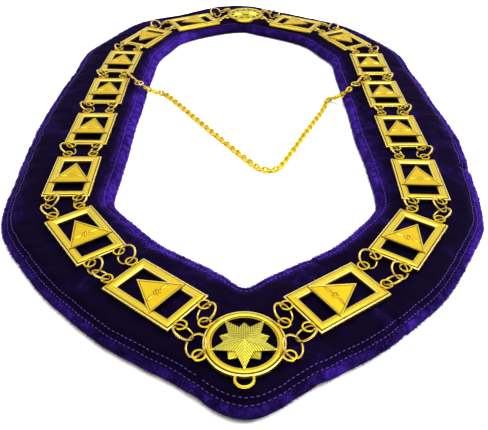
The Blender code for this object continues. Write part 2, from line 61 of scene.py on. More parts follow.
# Velvet collar. A stuffed band of deep purple cut velvet, turned over a round edge all the way round
# and topstitched near both edges. It is sewn from lengths of cloth that meet in seams at its corners.
VELVET_THICK = 8.5 * MM
RIM_POINTS = 9
TOP_POINTS = 33
UNDER_POINTS = 5
TOP_START = UNDER_POINTS + RIM_POINTS
STATION_STEPS = 8
OUTER_HEM = 3.0 * MM
INNER_HEM = 3.6 * MM
HEM_END = 7.8 * MM
OUTER_STITCHES = (3.2 * MM, 5.4 * MM)
INNER_STITCHES = (4.2 * MM,)
STITCH_SINK = 0.75 * MM
STITCH_GROOVE = 0.75 * MM
RIDGE_PUFF = 0.35 * MM
SEAT_WIDTH = 14.0 * MM
SEAM_TURNS = (-37.5, 20.0, 65.2)
SEAM_WIDTH = 2.2 * MM
SEAM_SINK = 0.9 * MM
EDGE_WAVE = 1.6 * MM
OUTER_FADE = 1.5
INNER_FADE = 2.1
# Painted light on the rims: the painted sheen is weaker where a rim faces the front and stronger where it
# faces right, as the light falls.
FRONT_PAINTED_SHADE = 0.50
RIGHT_PAINTED_LIGHT = 0.5
STUFFING_CAP = 0.9 * MM
STUFFING_FRAMES = 20
VELVET_DARK = (0.0018, 0.0008, 0.0060, 1.0)
VELVET_MIDDLE = (0.0085, 0.0028, 0.048, 1.0)
# Colour of the painted sheen on the rims.
VELVET_PAINTED_SHEEN = (0.031, 0.0088, 0.190, 1.0)
BOTH_ENDS = (0, -1)


def loose_loop(points):
    """Orders points that go once round the middle of the collar, from the one nearest the front."""
    turn = np.arctan2(points[:, 0], -points[:, 1])
    return points[np.argsort(turn)]


def rolled_to_front(points):
    return np.roll(points, -int(np.argmin(points[:, 1])), axis=0)


def smooth_loop(points, steps):
    """Closed smooth curve through a loop of points, with the points themselves kept."""
    before = np.roll(points, 1, axis=0)
    after = np.roll(points, -1, axis=0)
    beyond = np.roll(points, -2, axis=0)
    out = []
    for k in range(steps):
        t = k / steps
        out.append(0.5 * (2.0 * points + (after - before) * t
                          + (2.0 * before - 5.0 * points + 4.0 * after - beyond) * t ** 2
                          + (3.0 * points - before - 3.0 * after + beyond) * t ** 3))
    return np.stack(out, axis=1).reshape(-1, points.shape[1])


def grid_part(rows, wrap_rows=True, wrap_columns=True, caps=(), painted_shading=None, look=0):
    """Faces over rows of points, with UVs in metres. Caps names the rows that are closed with a face."""
    rows = np.asarray(rows, dtype=float)
    count, width = rows.shape[:2]
    closed = np.concatenate([rows, rows[:1]]) if wrap_rows else rows
    closed = np.concatenate([closed, closed[:, :1]], axis=1) if wrap_columns else closed
    strides = np.linalg.norm(np.diff(closed, axis=0), axis=2).mean(axis=1)
    along = np.concatenate([[0.0], np.cumsum(strides)])
    across = np.zeros(closed.shape[:2])
    across[:, 1:] = np.cumsum(np.linalg.norm(np.diff(closed, axis=1), axis=2), axis=1)
    faces = []
    corners = []
    for i in range(closed.shape[0] - 1):
        for j in range(closed.shape[1] - 1):
            i2, j2 = (i + 1) % count, (j + 1) % width
            faces.append((i * width + j, i2 * width + j, i2 * width + j2, i * width + j2))
            corners.extend(((along[i], across[i, j]), (along[i + 1], across[i + 1, j]),
                            (along[i + 1], across[i + 1, j + 1]), (along[i], across[i, j + 1])))
    for row in caps:
        faces.append(tuple(row % count * width + j for j in range(width)))
        corners.extend([(along[row % count], across[row % count, j]) for j in range(width)])
    # Each point's painted shade, with painted highlight where the value is below zero.
    depth = np.zeros(count * width) if painted_shading is None else np.asarray(painted_shading, dtype=float).ravel()
    points = rows.reshape(-1, 3)
    return {"points": points, "faces": faces, "corners": corners, "painted_shading": depth, "look": look}


def formed(name, parts, place=None):
    """One mesh from several parts, put in its place, with outward faces and crisp edges kept sharp."""
    points = []
    faces = []
    corners = []
    looks = []
    for part in parts:
        start = sum(len(block) for block in points)
        points.append(part["points"])
        faces.extend([tuple(start + index for index in face) for face in part["faces"]])
        corners.extend(part["corners"])
        looks.extend([part["look"]] * len(part["faces"]))
    mesh = bpy.data.meshes.new(name)
    mesh.from_pydata(np.concatenate(points).tolist(), [], faces)
    mesh.polygons.foreach_set("material_index", looks)
    uv = mesh.uv_layers.new(name="surface")
    uv.data.foreach_set("uv", np.asarray(corners, dtype=np.float32).ravel())
    # Painted shade and painted highlight for the materials to read.
    depth = mesh.attributes.new("painted_shading", "FLOAT", "POINT")
    depths = np.concatenate([part["painted_shading"] for part in parts])
    depth.data.foreach_set("value", depths.astype(np.float32))
    if place is not None:
        mesh.transform(place)
    bm = bmesh.new()
    bm.from_mesh(mesh)
    bmesh.ops.remove_doubles(bm, verts=bm.verts, dist=0.001 * MM)
    bmesh.ops.recalc_face_normals(bm, faces=bm.faces)
    bm.to_mesh(mesh)
    bm.free()
    mesh.shade_smooth()
    mesh.set_sharp_from_angle(angle=math.radians(42.0))
    return mesh


def shown(name, mesh, materials, replaced=()):
    """Adds a finished piece of the chain to the scene and hides the solids that it stands for."""
    piece = bpy.data.objects.new(name, mesh)
    bpy.context.collection.objects.link(piece)
    looks = np.zeros(len(mesh.polygons), dtype=np.int32)
    mesh.polygons.foreach_get("material_index", looks)
    mesh.materials.clear()
    for material in materials:
        mesh.materials.append(material)
    mesh.polygons.foreach_set("material_index", looks)
    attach(piece, "root")
    if replaced:
        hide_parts(*replaced)
    return piece


def fed(tree, node, sockets):
    """Links a node's sockets to the outputs that they are given, and sets them to any other value."""
    for key, value in sockets.items():
        if isinstance(value, bpy.types.NodeSocket):
            tree.links.new(value, node.inputs[key])
        else:
            node.inputs[key].default_value = value
    return node


def wired(tree, kind, sockets=None, **settings):
    """Adds a node with its settings, and feeds its sockets."""
    node = tree.nodes.new(kind)
    for key, value in settings.items():
        setattr(node, key, value)
    return fed(tree, node, sockets or {})


def new_group(name, kind, inputs, outputs):
    """New node group with named sockets of each sort, and what its input node gives."""
    tree = bpy.data.node_groups.new(name, kind)
    for way, sockets in (("INPUT", inputs), ("OUTPUT", outputs)):
        for label, sort in sockets:
            tree.interface.new_socket(label, in_out=way, socket_type=f"NodeSocket{sort}")
    return tree, tree.nodes.new("NodeGroupInput").outputs


def sums(tree, operation, first, second=0.0, clamp=False):
    """Any of the Math node's operations on two values."""
    sockets = {0: first, 1: second}
    return wired(tree, "ShaderNodeMath", sockets, operation=operation, use_clamp=clamp).outputs[0]


def times(tree, first, second, clamp=False):
    return sums(tree, "MULTIPLY", first, second, clamp)


def plus(tree, first, second):
    return sums(tree, "ADD", first, second)


def blended(tree, share, first, second):
    """Colour between two others by a share from 0 to 1."""
    return wired(tree, "ShaderNodeMix", {0: share, 6: first, 7: second}, data_type="RGBA").outputs[2]


def spread(tree, value, low, high):
    """Value brought from the range low to high to 0 to 1, with soft ends."""
    return wired(tree, "ShaderNodeMapRange", {"Value": value, "From Min": low, "From Max": high},
                 interpolation_type="SMOOTHSTEP").outputs["Result"]


def noise_of(tree, place, scale, detail, low=0.0, high=1.0, **more):
    """Noise of so many waves a metre. Between two levels it is brought to 0 to 1."""
    sockets = {"Vector": place, "Scale": scale, "Detail": detail, **more}
    level = wired(tree, "ShaderNodeTexNoise", sockets).outputs["Fac"]
    return spread(tree, level, low, high) if low > 0.0 else level


def bumped(tree, height, strength, distance, normal=None):
    """Normal bent by a height, in metres, from another normal if there is one."""
    sockets = {"Strength": strength, "Distance": distance, "Height": height}
    if normal is not None:
        sockets["Normal"] = normal
    return wired(tree, "ShaderNodeBump", sockets).outputs["Normal"]


def ranged(tree, value, low, high):
    """Value from 0 to 1 brought to the range low to high."""
    sockets = {"Value": value, "To Min": low, "To Max": high}
    return wired(tree, "ShaderNodeMapRange", sockets).outputs["Result"]


def started(name):
    """New material with its node tree, its shader and its Object coordinates."""
    material = bpy.data.materials.new(name)
    material.use_nodes = True
    tree = material.node_tree
    shader = tree.nodes["Principled BSDF"]
    place = tree.nodes.new("ShaderNodeTexCoord").outputs["Object"]
    return material, tree, shader, place


def hem_height(inset, hem):
    """Height of the cloth behind its round edge, from the flat hem up to the full pad."""
    share = min(1.0, max(0.0, (inset - hem) / (HEM_END - hem)))
    return 2.0 * hem + (VELVET_THICK - 2.0 * hem) * share * share * (3.0 - 2.0 * share)


collar_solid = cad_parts["velvet_collar"]
solid_points = np.array([v.co for v in collar_solid.data.vertices])
edge_points = solid_points[np.abs(solid_points[:, 2] - 0.3 * VELVET_THICK) < 0.02 * VELVET_THICK]
edge_points = np.unique(np.round(edge_points, 6), axis=0)
distance = np.linalg.norm(edge_points[:, :2], axis=1)
turn_of = np.arctan2(edge_points[:, 0], -edge_points[:, 1])
outer_mask = np.zeros(len(edge_points), dtype=bool)
for index, angle in enumerate(turn_of):
    near = np.abs((turn_of - angle + math.pi) % math.tau - math.pi) < math.radians(16.0)
    outer_mask[index] = distance[index] > (distance[near].min() + distance[near].max()) / 2.0
outer_stations = rolled_to_front(loose_loop(edge_points[outer_mask]))
inner_stations = rolled_to_front(loose_loop(edge_points[~outer_mask]))
far_edge = smooth_loop(outer_stations, STATION_STEPS)
near_edge = smooth_loop(inner_stations, STATION_STEPS)
station_count = len(far_edge)

edge_turns = np.degrees(np.arctan2(far_edge[:, 0], -far_edge[:, 1]))
seam_places = [int(np.argmin(np.abs(edge_turns - turn))) for turn in SEAM_TURNS]
collar_rows = []
for i in range(station_count):
    far, near = far_edge[i].copy(), near_edge[i].copy()
    across = (far - near) / np.linalg.norm(far - near)
    seam_gap = min(np.linalg.norm(far_edge[i] - far_edge[k]) for k in seam_places)
    seam = math.exp(-(seam_gap / SEAM_WIDTH) ** 2)
    fray = noise.noise(Vector((far * 130.0).tolist()))
    far += across * EDGE_WAVE * (noise.noise(Vector((far * 24.0).tolist())) + 0.22 * fray - 0.5 * seam)
    near -= across * EDGE_WAVE * 0.6 * noise.noise(Vector((near * 26.0).tolist()) + Vector((0.0, 7.7, 0.0)))
    width = np.linalg.norm(far - near)
    profile = []
    for k in range(UNDER_POINTS):
        share = k / UNDER_POINTS
        profile.append((width - OUTER_HEM * 0.8 - share * (width - (OUTER_HEM + INNER_HEM) * 0.8), 0.0))
    for hem, flipped in ((INNER_HEM, False), (OUTER_HEM, True)):
        side = []
        for k in range(RIM_POINTS - 1, 0, -1) if flipped else range(RIM_POINTS):
            angle = -math.pi / 2.0 + math.pi * k / RIM_POINTS
            s = hem * (1.0 - math.cos(angle)) * (0.82 if angle < 0.0 else 1.0)
            side.append((width - s if flipped else s, hem * (1.0 + math.sin(angle))))
        if flipped:
            for k in range(TOP_POINTS):
                s = INNER_HEM + (width - OUTER_HEM - INNER_HEM) * k / (TOP_POINTS - 1)
                on_far = s > width / 2.0
                profile.append((s, hem_height(min(s, width - s), OUTER_HEM if on_far else INNER_HEM)))
        profile.extend(side)
    row = []
    for index, (s, z) in enumerate(profile):
        on_far = s > width / 2.0
        inset = width - s if on_far else s
        hem, lines = (OUTER_HEM, OUTER_STITCHES) if on_far else (INNER_HEM, INNER_STITCHES)
        on_top = TOP_START <= index < TOP_START + TOP_POINTS
        seated = min(1.0, max(0.0, 1.35 * (1.0 - abs(s - width / 2.0) / SEAT_WIDTH))) if on_top else 0.0
        groove = 0.0
        if on_top:
            groove = max(math.exp(-((inset - line) / STITCH_GROOVE) ** 2) for line in lines)
            ridge = math.exp(-((inset - (lines[0] + lines[-1]) / 2.0) / (0.9 * MM)) ** 2) if on_far else 0.0
            z += RIDGE_PUFF * ridge - STITCH_SINK * groove
        if z > hem:
            z -= SEAM_SINK * seam * (1.0 - seated)
        at = near + across * s + np.array((0.0, 0.0, z - near[2]))
        # Share of painted rim sheen: full over the turned edge and fading past the hem, then scaled by which
        # way the rim faces.
        fade = (OUTER_FADE if on_far else INNER_FADE) * hem
        past_hem = min(1.0, max(0.0, inset - 0.3 * hem) / fade) if z > hem else 0.0
        facing = across if on_far else -across
        side_light = 1.0 - FRONT_PAINTED_SHADE * max(0.0, -facing[1]) + RIGHT_PAINTED_LIGHT * max(0.0, facing[0])
        # Painted shade in the stitch grooves and over the seams.
        sewn = max(groove, seam * 0.8 if z > hem else 0.0)
        turned = 0.0 if on_top else 0.5
        held = 1.0 if z < 0.5 * MM or seated > 0.4 else max(groove * 0.9, seated, turned)
        row.append((*at, (1.0 - past_hem) * side_light, sewn, held))
    collar_rows.append(row)
collar_rows = np.array(collar_rows)
rim_sheen_share, sewn_shade, held_share = collar_rows[:, :, 3:].transpose(2, 0, 1)
collar_mesh = formed("velvet_collar_cloth", [grid_part(collar_rows[:, :, :3], painted_shading=sewn_shade)])
# The rim attribute holds the share of painted rim sheen.
rim_sheen_mark = collar_mesh.attributes.new("rim", "FLOAT", "POINT")
rim_sheen_mark.data.foreach_set("value", rim_sheen_share.ravel().astype(np.float32))


def stuffed(mesh, held, cap):
    """Blows the cloth up from inside, held at its sewn and seated points, no point further than cap."""
    before = np.empty(len(mesh.vertices) * 3)
    mesh.vertices.foreach_get("co", before)
    pad = bpy.data.objects.new("collar_being_stuffed", mesh)
    bpy.context.collection.objects.link(pad)
    pins = pad.vertex_groups.new(name="held")
    for index, weight in enumerate(held):
        pins.add([index], float(weight), "REPLACE")
    cloth = pad.modifiers.new("stuffing", "CLOTH")
    stuffing = {
        "quality": 6,
        "mass": 0.25,
        "tension_stiffness": 12.0,
        "compression_stiffness": 12.0,
        "bending_stiffness": 0.35,
        "shrink_min": -0.012,
        "use_pressure": True,
        "uniform_pressure_force": 4.0,
        "vertex_group_mass": "held",
    }
    for key, value in stuffing.items():
        setattr(cloth.settings, key, value)
    cloth.settings.effector_weights.gravity = 0.0
    cloth.collision_settings.use_collision = False
    cloth.point_cache.frame_start = 1
    cloth.point_cache.frame_end = STUFFING_FRAMES
    for step in range(1, STUFFING_FRAMES + 1):
        bpy.context.scene.frame_set(step)
    blown = bpy.data.meshes.new_from_object(pad.evaluated_get(bpy.context.evaluated_depsgraph_get()))
    after = np.empty(len(blown.vertices) * 3)
    blown.vertices.foreach_get("co", after)
    moved = np.nan_to_num((after - before).reshape(-1, 3))
    reach = np.maximum(np.linalg.norm(moved, axis=1, keepdims=True), 1e-9)
    moved *= np.minimum(1.0, cap / reach)
    blown_points = before.reshape(-1, 3) + moved
    blown_points[:, 2] = np.maximum(blown_points[:, 2], 0.0)
    mesh.vertices.foreach_set("co", blown_points.ravel())
    bpy.data.objects.remove(pad, do_unlink=True)
    bpy.data.meshes.remove(blown)
    bpy.context.scene.frame_set(1)
    mesh.update()


stuffed(collar_mesh, held_share.ravel(), STUFFING_CAP)
cloth_points = np.empty(len(collar_mesh.vertices) * 3)
collar_mesh.vertices.foreach_get("co", cloth_points)
cloth_points = cloth_points.reshape(station_count, -1, 3)

velvet, tree, shader, place = started("purple_velvet")
rim_sheen_level = wired(tree, "ShaderNodeAttribute", attribute_name="rim").outputs["Fac"]
sewn_shade_level = wired(tree, "ShaderNodeAttribute", attribute_name="painted_shading").outputs["Fac"]
crush = noise_of(tree, place, 21.0, 4.0, 0.52, 0.74, Roughness=0.62, Distortion=0.9)
streak = noise_of(tree, place, 170.0, 3.0, 0.40, 0.68)
blotch = noise_of(tree, place, 48.0, 3.0, 0.34, 0.62)
pile = noise_of(tree, place, 2300.0, 2.0)
tuft = noise_of(tree, place, 700.0, 3.0, 0.36, 0.64)
brushed = times(tree, crush, plus(tree, streak, 0.15))
brushed = times(tree, brushed, plus(tree, tuft, 0.3), clamp=True)
colour = blended(tree, brushed, VELVET_DARK, VELVET_MIDDLE)
# Painted sheen: bright violet laid in patches over the rims by the rim attribute.
sheen_patches = times(tree, plus(tree, streak, 0.35), plus(tree, blotch, 0.12))
sheen_patches = times(tree, sheen_patches, plus(tree, tuft, 0.35))
# Painted shade near the table: the painted sheen fades out toward the bottom of the rim.
height = wired(tree, "ShaderNodeSeparateXYZ", {0: place}).outputs["Z"]
sheen_patches = times(tree, sheen_patches, spread(tree, height, -1.0 * MM, 4.5 * MM))
painted_sheen_level = times(tree, sums(tree, "POWER", rim_sheen_level, 2.0), sheen_patches)
painted_sheen_level = times(tree, painted_sheen_level, 1.35, clamp=True)
colour = blended(tree, painted_sheen_level, colour, VELVET_PAINTED_SHEEN)
# Painted shade: darker in the stitch grooves and seams.
colour = blended(tree, times(tree, sewn_shade_level, 0.7), colour, VELVET_DARK)
relief = plus(tree, pile, times(tree, streak, 1.5))
fed(tree, shader, {
    "Base Color": colour,
    "Roughness": ranged(tree, pile, 0.7, 0.95),
    "Normal": bumped(tree, relief, 0.55, 0.3 * MM),
    "Sheen Weight": 0.045,
    "Sheen Roughness": 0.30,
    "Sheen Tint": (0.30, 0.12, 0.95, 1.0),
    "Specular IOR Level": 0.01,
})

collar = shown("velvet_collar_cloth", collar_mesh, [velvet], ["velvet_collar"])
finer = collar.modifiers.new("finer", "SUBSURF")
finer.levels = 1
finer.render_levels = 1


# Velvet pile. Short tufts of purple pile that stand out where the cloth turns over its edges, so that the
# outline is soft. They are cut from the same velvet and lean every way.
PILE_DENSITY = 4.6e6
PILE_LENGTH = 0.95 * MM
PILE_WIDTH = 0.10 * MM
PILE_FLOOR = 1.7 * MM
PILE_LEAN = 0.7
PILE_SPIN = 3.1
PILE_SEED = 11
PILE_COLOUR = (0.048, 0.014, 0.27, 1.0)


def geometry_group(name, *values):
    """Geometry Nodes tree that takes a geometry and some named values, and gives a geometry."""
    taken = (("Geometry", "Geometry"), *((value, "Float") for value in values))
    return new_group(name, "GeometryNodeTree", taken, (("Geometry", "Geometry"),))


def placed(tree, material, sockets):
    """Ends a Geometry Nodes tree: instances on points, made into plain geometry with its material."""
    laid = wired(tree, "GeometryNodeInstanceOnPoints", sockets).outputs["Instances"]
    plain = wired(tree, "GeometryNodeRealizeInstances", {"Geometry": laid}).outputs["Geometry"]
    ending = wired(tree, "GeometryNodeSetMaterial", {"Geometry": plain, "Material": material})
    wired(tree, "NodeGroupOutput", {"Geometry": ending.outputs["Geometry"]})
    return tree


def turned_by(tree, rotation, angles):
    """Rotation followed by another one about its own axes, given as angles about X, Y and Z."""
    spin = wired(tree, "FunctionNodeEulerToRotation", {0: angles}).outputs[0]
    return wired(tree, "FunctionNodeRotateRotation", {"Rotation": rotation, "Rotate By": spin},
                 rotation_space="LOCAL").outputs["Rotation"]


def grown(source, tree, values):
    """Plain mesh that a Geometry Nodes tree makes from an object, which is then removed."""
    bpy.context.collection.objects.link(source)
    nodes = source.modifiers.new("nodes", "NODES")
    nodes.node_group = tree
    for item in tree.interface.items_tree:
        if item.item_type == "SOCKET" and item.in_out == "INPUT" and item.name in values:
            nodes[item.identifier] = values[item.name]
    bpy.context.view_layer.update()
    mesh = bpy.data.meshes.new_from_object(source.evaluated_get(bpy.context.evaluated_depsgraph_get()))
    bpy.data.objects.remove(source, do_unlink=True)
    mesh.shade_smooth()
    return mesh


def pile_tree(material):
    """Geometry Nodes: thin leaning tufts over the faces of a mesh, as dense as its rim attribute says."""
    tree, given = geometry_group("velvet_pile", "Density", "Length", "Width", "Lowest")
    rim = wired(tree, "GeometryNodeInputNamedAttribute", {"Name": "rim"}, data_type="FLOAT").outputs[0]
    place = wired(tree, "GeometryNodeInputPosition").outputs[0]
    height = wired(tree, "ShaderNodeSeparateXYZ", {0: place}).outputs["Z"]
    raised = sums(tree, "GREATER_THAN", height, given["Lowest"])
    patchy = plus(tree, noise_of(tree, place, 60.0, 2.0), 0.4)
    dense = times(tree, sums(tree, "POWER", rim, 2.0), raised)
    dense = times(tree, times(tree, dense, given["Density"]), patchy)
    spots = wired(tree, "GeometryNodeDistributePointsOnFaces", {
        "Mesh": given["Geometry"], "Density": dense, "Seed": PILE_SEED}).outputs
    tuft = wired(tree, "GeometryNodeMeshCone", {
        "Vertices": 3, "Radius Top": 0.0, "Radius Bottom": given["Width"], "Depth": given["Length"],
    }, fill_type="NONE").outputs["Mesh"]
    lean = wired(tree, "FunctionNodeRandomValue", {
        0: (-PILE_LEAN, -PILE_LEAN, -PILE_SPIN), 1: (PILE_LEAN, PILE_LEAN, PILE_SPIN), "Seed": PILE_SEED + 1,
    }, data_type="FLOAT_VECTOR").outputs[0]
    size = wired(tree, "FunctionNodeRandomValue", {
        2: 0.55, 3: 1.25, "Seed": PILE_SEED + 2}, data_type="FLOAT").outputs[1]
    return placed(tree, material, {
        "Points": spots["Points"], "Scale": size, "Instance": tuft,
        "Rotation": turned_by(tree, spots["Rotation"], lean)})


pile_look, tree, shader, place = started("purple_pile")
patch = noise_of(tree, place, 300.0, 2.0, 0.38, 0.68)
fed(tree, shader, {
    "Base Color": blended(tree, patch, VELVET_MIDDLE, PILE_COLOUR),
    "Roughness": 0.9,
    "Specular IOR Level": 0.02,
})

pile_ground = bpy.data.objects.new("pile_ground", collar_mesh.copy())
pile_mesh = grown(pile_ground, pile_tree(pile_look), {
    "Density": PILE_DENSITY, "Length": PILE_LENGTH, "Width": PILE_WIDTH, "Lowest": PILE_FLOOR})
shown("velvet_pile", pile_mesh, [pile_look])


# Topstitch. Dashes of purple thread that hold the turned edge down: one row along the inner edge and two
# along the outer one, sewn through the cloth in the grooves that they pull.
STITCH_LENGTH = 1.3 * MM
STITCH_GAP = 0.9 * MM
THREAD_WIDTH = 0.38 * MM
THREAD_LIFT = 0.16 * MM
THREAD_POINTS = 4
THREAD_COLOUR = (0.075, 0.035, 0.30, 1.0)


def spaced_along(tree, curve, pitch):
    """Points at an even pitch along each curve."""
    sockets = {"Curve": curve, "Length": pitch}
    return wired(tree, "GeometryNodeResampleCurve", sockets, mode="LENGTH").outputs["Curve"]


def along_curve(tree):
    """Rotation that turns a thing's X axis along the curve that it's laid on."""
    heading = wired(tree, "GeometryNodeInputTangent").outputs[0]
    return wired(tree, "FunctionNodeAlignRotationToVector", {"Vector": heading}, axis="X").outputs["Rotation"]


def circle_of(tree, sides, radius):
    """Round curve of so many sides."""
    return wired(tree, "GeometryNodeCurvePrimitiveCircle", {"Resolution": sides, "Radius": radius},
                 mode="RADIUS").outputs["Curve"]


def along_x(tree, length):
    return wired(tree, "ShaderNodeCombineXYZ", {"X": length}).outputs[0]


def stitch_tree(material):
    """Geometry Nodes: short rounded dashes of thread along each curve of the object."""
    tree, given = geometry_group("topstitch_row", "Stitch length", "Gap", "Thread width")
    pitch = plus(tree, given["Stitch length"], given["Gap"])
    step = sums(tree, "DIVIDE", given["Stitch length"], THREAD_POINTS - 1.0)
    bar = wired(tree, "GeometryNodeMeshLine", {
        "Count": THREAD_POINTS, "Offset": along_x(tree, step)}, mode="OFFSET")
    index = wired(tree, "GeometryNodeInputIndex").outputs[0]
    from_middle = sums(tree, "ABSOLUTE", sums(tree, "SUBTRACT", index, (THREAD_POINTS - 1) / 2.0))
    slim = sums(tree, "SUBTRACT", 1.15, times(tree, from_middle, 0.45))
    line = wired(tree, "GeometryNodeMeshToCurve", {"Mesh": bar.outputs["Mesh"]}).outputs["Curve"]
    line = wired(tree, "GeometryNodeSetCurveRadius", {"Curve": line, "Radius": slim}).outputs["Curve"]
    section = circle_of(tree, 6, times(tree, given["Thread width"], 0.5))
    dash = wired(tree, "GeometryNodeCurveToMesh", {
        "Curve": line, "Profile Curve": section, "Fill Caps": True,
        "Scale": wired(tree, "GeometryNodeInputRadius").outputs[0]}).outputs["Mesh"]
    return placed(tree, material, {
        "Points": spaced_along(tree, given["Geometry"], pitch), "Instance": dash,
        "Rotation": along_curve(tree)})


def curve_through(name, lines, cyclic):
    """Curve object with one straight-sided spline for each line of points."""
    curve = bpy.data.curves.new(name, "CURVE")
    curve.dimensions = "3D"
    for line in lines:
        spline = curve.splines.new("POLY")
        spline.points.add(len(line) - 1)
        for point, at in zip(spline.points, line):
            point.co = (at[0], at[1], at[2], 1.0)
        spline.use_cyclic_u = cyclic
    return bpy.data.objects.new(name, curve)


thread, tree, shader, place = started("purple_thread")
twist = noise_of(tree, place, 1900.0, 2.0)
fed(tree, shader, {
    "Base Color": blended(tree, twist, VELVET_MIDDLE, THREAD_COLOUR),
    "Roughness": ranged(tree, twist, 0.45, 0.7),
    "Normal": bumped(tree, twist, 0.5, 0.1 * MM),
})

stitched = [(inset, INNER_HEM, False) for inset in INNER_STITCHES]
stitched += [(inset, OUTER_HEM, True) for inset in OUTER_STITCHES]
stitch_lines = []
for inset, hem, from_far in stitched:
    line = []
    for row in cloth_points:
        top = row[TOP_START:TOP_START + TOP_POINTS]
        span = np.linalg.norm((top[-1] - top[0])[:2])
        column = (inset - hem) / span * (TOP_POINTS - 1)
        column = TOP_POINTS - 1 - column if from_far else column
        low = min(int(column), TOP_POINTS - 2)
        at = top[low] * (low + 1 - column) + top[low + 1] * (column - low)
        line.append(at + (0.0, 0.0, THREAD_LIFT))
    stitch_lines.append(line)
stitch_mesh = grown(curve_through("stitch_lines", stitch_lines, True), stitch_tree(thread), {
    "Stitch length": STITCH_LENGTH, "Gap": STITCH_GAP, "Thread width": THREAD_WIDTH})
shown("topstitch", stitch_mesh, [thread])


# Link plates. Sixteen cast plates in bright gold plate: a stepped and crowned frame, a raised triangle over
# the window with a rosette and two leaves on its sanded field, and two flat cast eyes at each end.
PLATE_LENGTH = 38.0 * MM
PLATE_WIDTH = 24.3 * MM
PLATE_THICK = 2.6 * MM
CORNER_RADIUS = 0.4 * MM
# Mouldings from the outside in: inset and height in millimetres, then how much painted shade each point gets,
# with painted highlight where that is below zero.
FRAME_PROFILE = (
    (0.0, 0.0, 1.0), (0.0, 1.30, 0.6), (0.0, 1.78, 0.0),
    (0.08, 1.97, -0.7), (0.28, 2.08, -1.0), (0.70, 2.06, -0.9),
    (0.76, 1.90, 1.0), (0.94, 1.74, 1.0), (1.12, 1.90, 1.0),
    (1.17, 2.28, 0.1), (1.32, 2.46, 0.0), (1.80, 2.55, 0.0), (2.45, 2.60, 0.0), (3.10, 2.55, 0.0),
    (3.58, 2.46, 0.0), (3.70, 2.32, 1.0),
    (3.84, 2.36, -0.5), (4.46, 1.98, -0.9), (4.60, 1.72, 0.1), (4.60, 0.0, 1.0),
)
TRIANGLE_HALF_BASE = 10.6 * MM
TRIANGLE_BASE_Y = -7.5 * MM
TRIANGLE_APEX_Y = 10.8 * MM
TRIANGLE_UNDER = 2.0 * MM
TRIANGLE_TOP = 3.1 * MM
FIELD_TOP = TRIANGLE_TOP - 0.22 * MM
ROSETTE_RADIUS = 1.75 * MM
ROSETTE_RISE = 0.55 * MM
ROSETTE_STEPS = 48
LEAF_LENGTH = 4.6 * MM
LEAF_WIDTH = 2.0 * MM
LEAF_RISE = 0.42 * MM
EYE_OUTER = 2.8 * MM
EYE_HOLE = 2.0 * MM
EYE_THICK = 0.8 * MM
EYE_REACH = 2.15 * MM
EYE_SPREAD = 7.0 * MM
EYE_HEIGHT = 2.25 * MM
GOLD_BRIGHT = (0.93, 0.69, 0.045, 1.0)
# Painted highlight colour, laid on bright-cut edges and rib crests.
GOLD_PAINTED_HIGHLIGHT = (1.0, 0.86, 0.33, 1.0)
# Painted shade colour, laid in recesses and grooves and at the feet of walls; a little of it also tints the
# gold at random.
GOLD_PAINTED_SHADE = (0.12, 0.050, 0.002, 1.0)
GOLD_FIELD = (0.90, 0.62, 0.020, 1.0)
GOLD_STAR = (1.0, 0.95, 0.105, 1.0)
REVERSED_PLATES = (7, 8)
NEAR = 0.05 * MM


def gold_group():
    """Shader nodes of gold plate: painted shade in recesses, painted highlights on bright-cut edges, a little
    random tone, with grain and dents.
    """
    taken = [(name, "Color") for name in ("Tint", "Shade", "Painted highlight")]
    taken += [(name, "Float") for name in ("Polish", "Grain size", "Grain depth")]
    tree, given = new_group("gold_plate", "ShaderNodeTree", taken, (
        ("Color", "Color"), ("Roughness", "Float"), ("Normal", "Vector")))
    place = tree.nodes.new("ShaderNodeTexCoord").outputs["Object"]
    painted_shading = wired(tree, "ShaderNodeAttribute", attribute_name="painted_shading").outputs["Fac"]
    # Below zero the value paints highlight, above zero it paints shade.
    edge = times(tree, painted_shading, -1.0, clamp=True)
    depth = times(tree, painted_shading, 0.96, clamp=True)
    cloud = noise_of(tree, place, 95.0, 3.0, 0.4, 0.75)
    grain = noise_of(tree, place, sums(tree, "DIVIDE", 1.0, given["Grain size"]), 2.0)
    dent = noise_of(tree, place, 520.0, 1.0)
    tone = blended(tree, times(tree, cloud, 0.10), given["Tint"], given["Shade"])
    tone = blended(tree, depth, blended(tree, edge, tone, given["Painted highlight"]), given["Shade"])
    rough = times(tree, sums(tree, "SUBTRACT", grain, 0.5), 0.10)
    rough = plus(tree, rough, given["Polish"])
    rough = plus(tree, rough, times(tree, plus(tree, cloud, depth), 0.10))
    dented = bumped(tree, dent, 0.20, 0.2 * MM)
    normal = bumped(tree, grain, given["Grain depth"], 0.05 * MM, dented)
    wired(tree, "NodeGroupOutput", {"Color": tone, "Roughness": rough, "Normal": normal})
    return tree


gold_nodes = gold_group()


def gilt(name, tint, polish, grain_size, grain_depth):
    """Metal material with the look of gold plate in one tint and finish."""
    material, tree, shader, _ = started(name)
    look = wired(tree, "ShaderNodeGroup", {
        "Tint": tint, "Shade": GOLD_PAINTED_SHADE, "Painted highlight": GOLD_PAINTED_HIGHLIGHT, "Polish": polish, "Grain size": grain_size,
        "Grain depth": grain_depth}, node_tree=gold_nodes).outputs
    fed(tree, shader, {
        "Base Color": look["Color"],
        "Roughness": look["Roughness"],
        "Normal": look["Normal"],
        "Metallic": 1.0,
    })
    return material


polished_gold = gilt("polished_gold_plate", GOLD_BRIGHT, 0.22, 0.28 * MM, 0.12)
satin_gold = gilt("satin_gold_star", GOLD_STAR, 0.24, 0.22 * MM, 0.3)
sanded_gold = gilt("sanded_gold_field", GOLD_FIELD, 0.38, 0.16 * MM, 0.7)


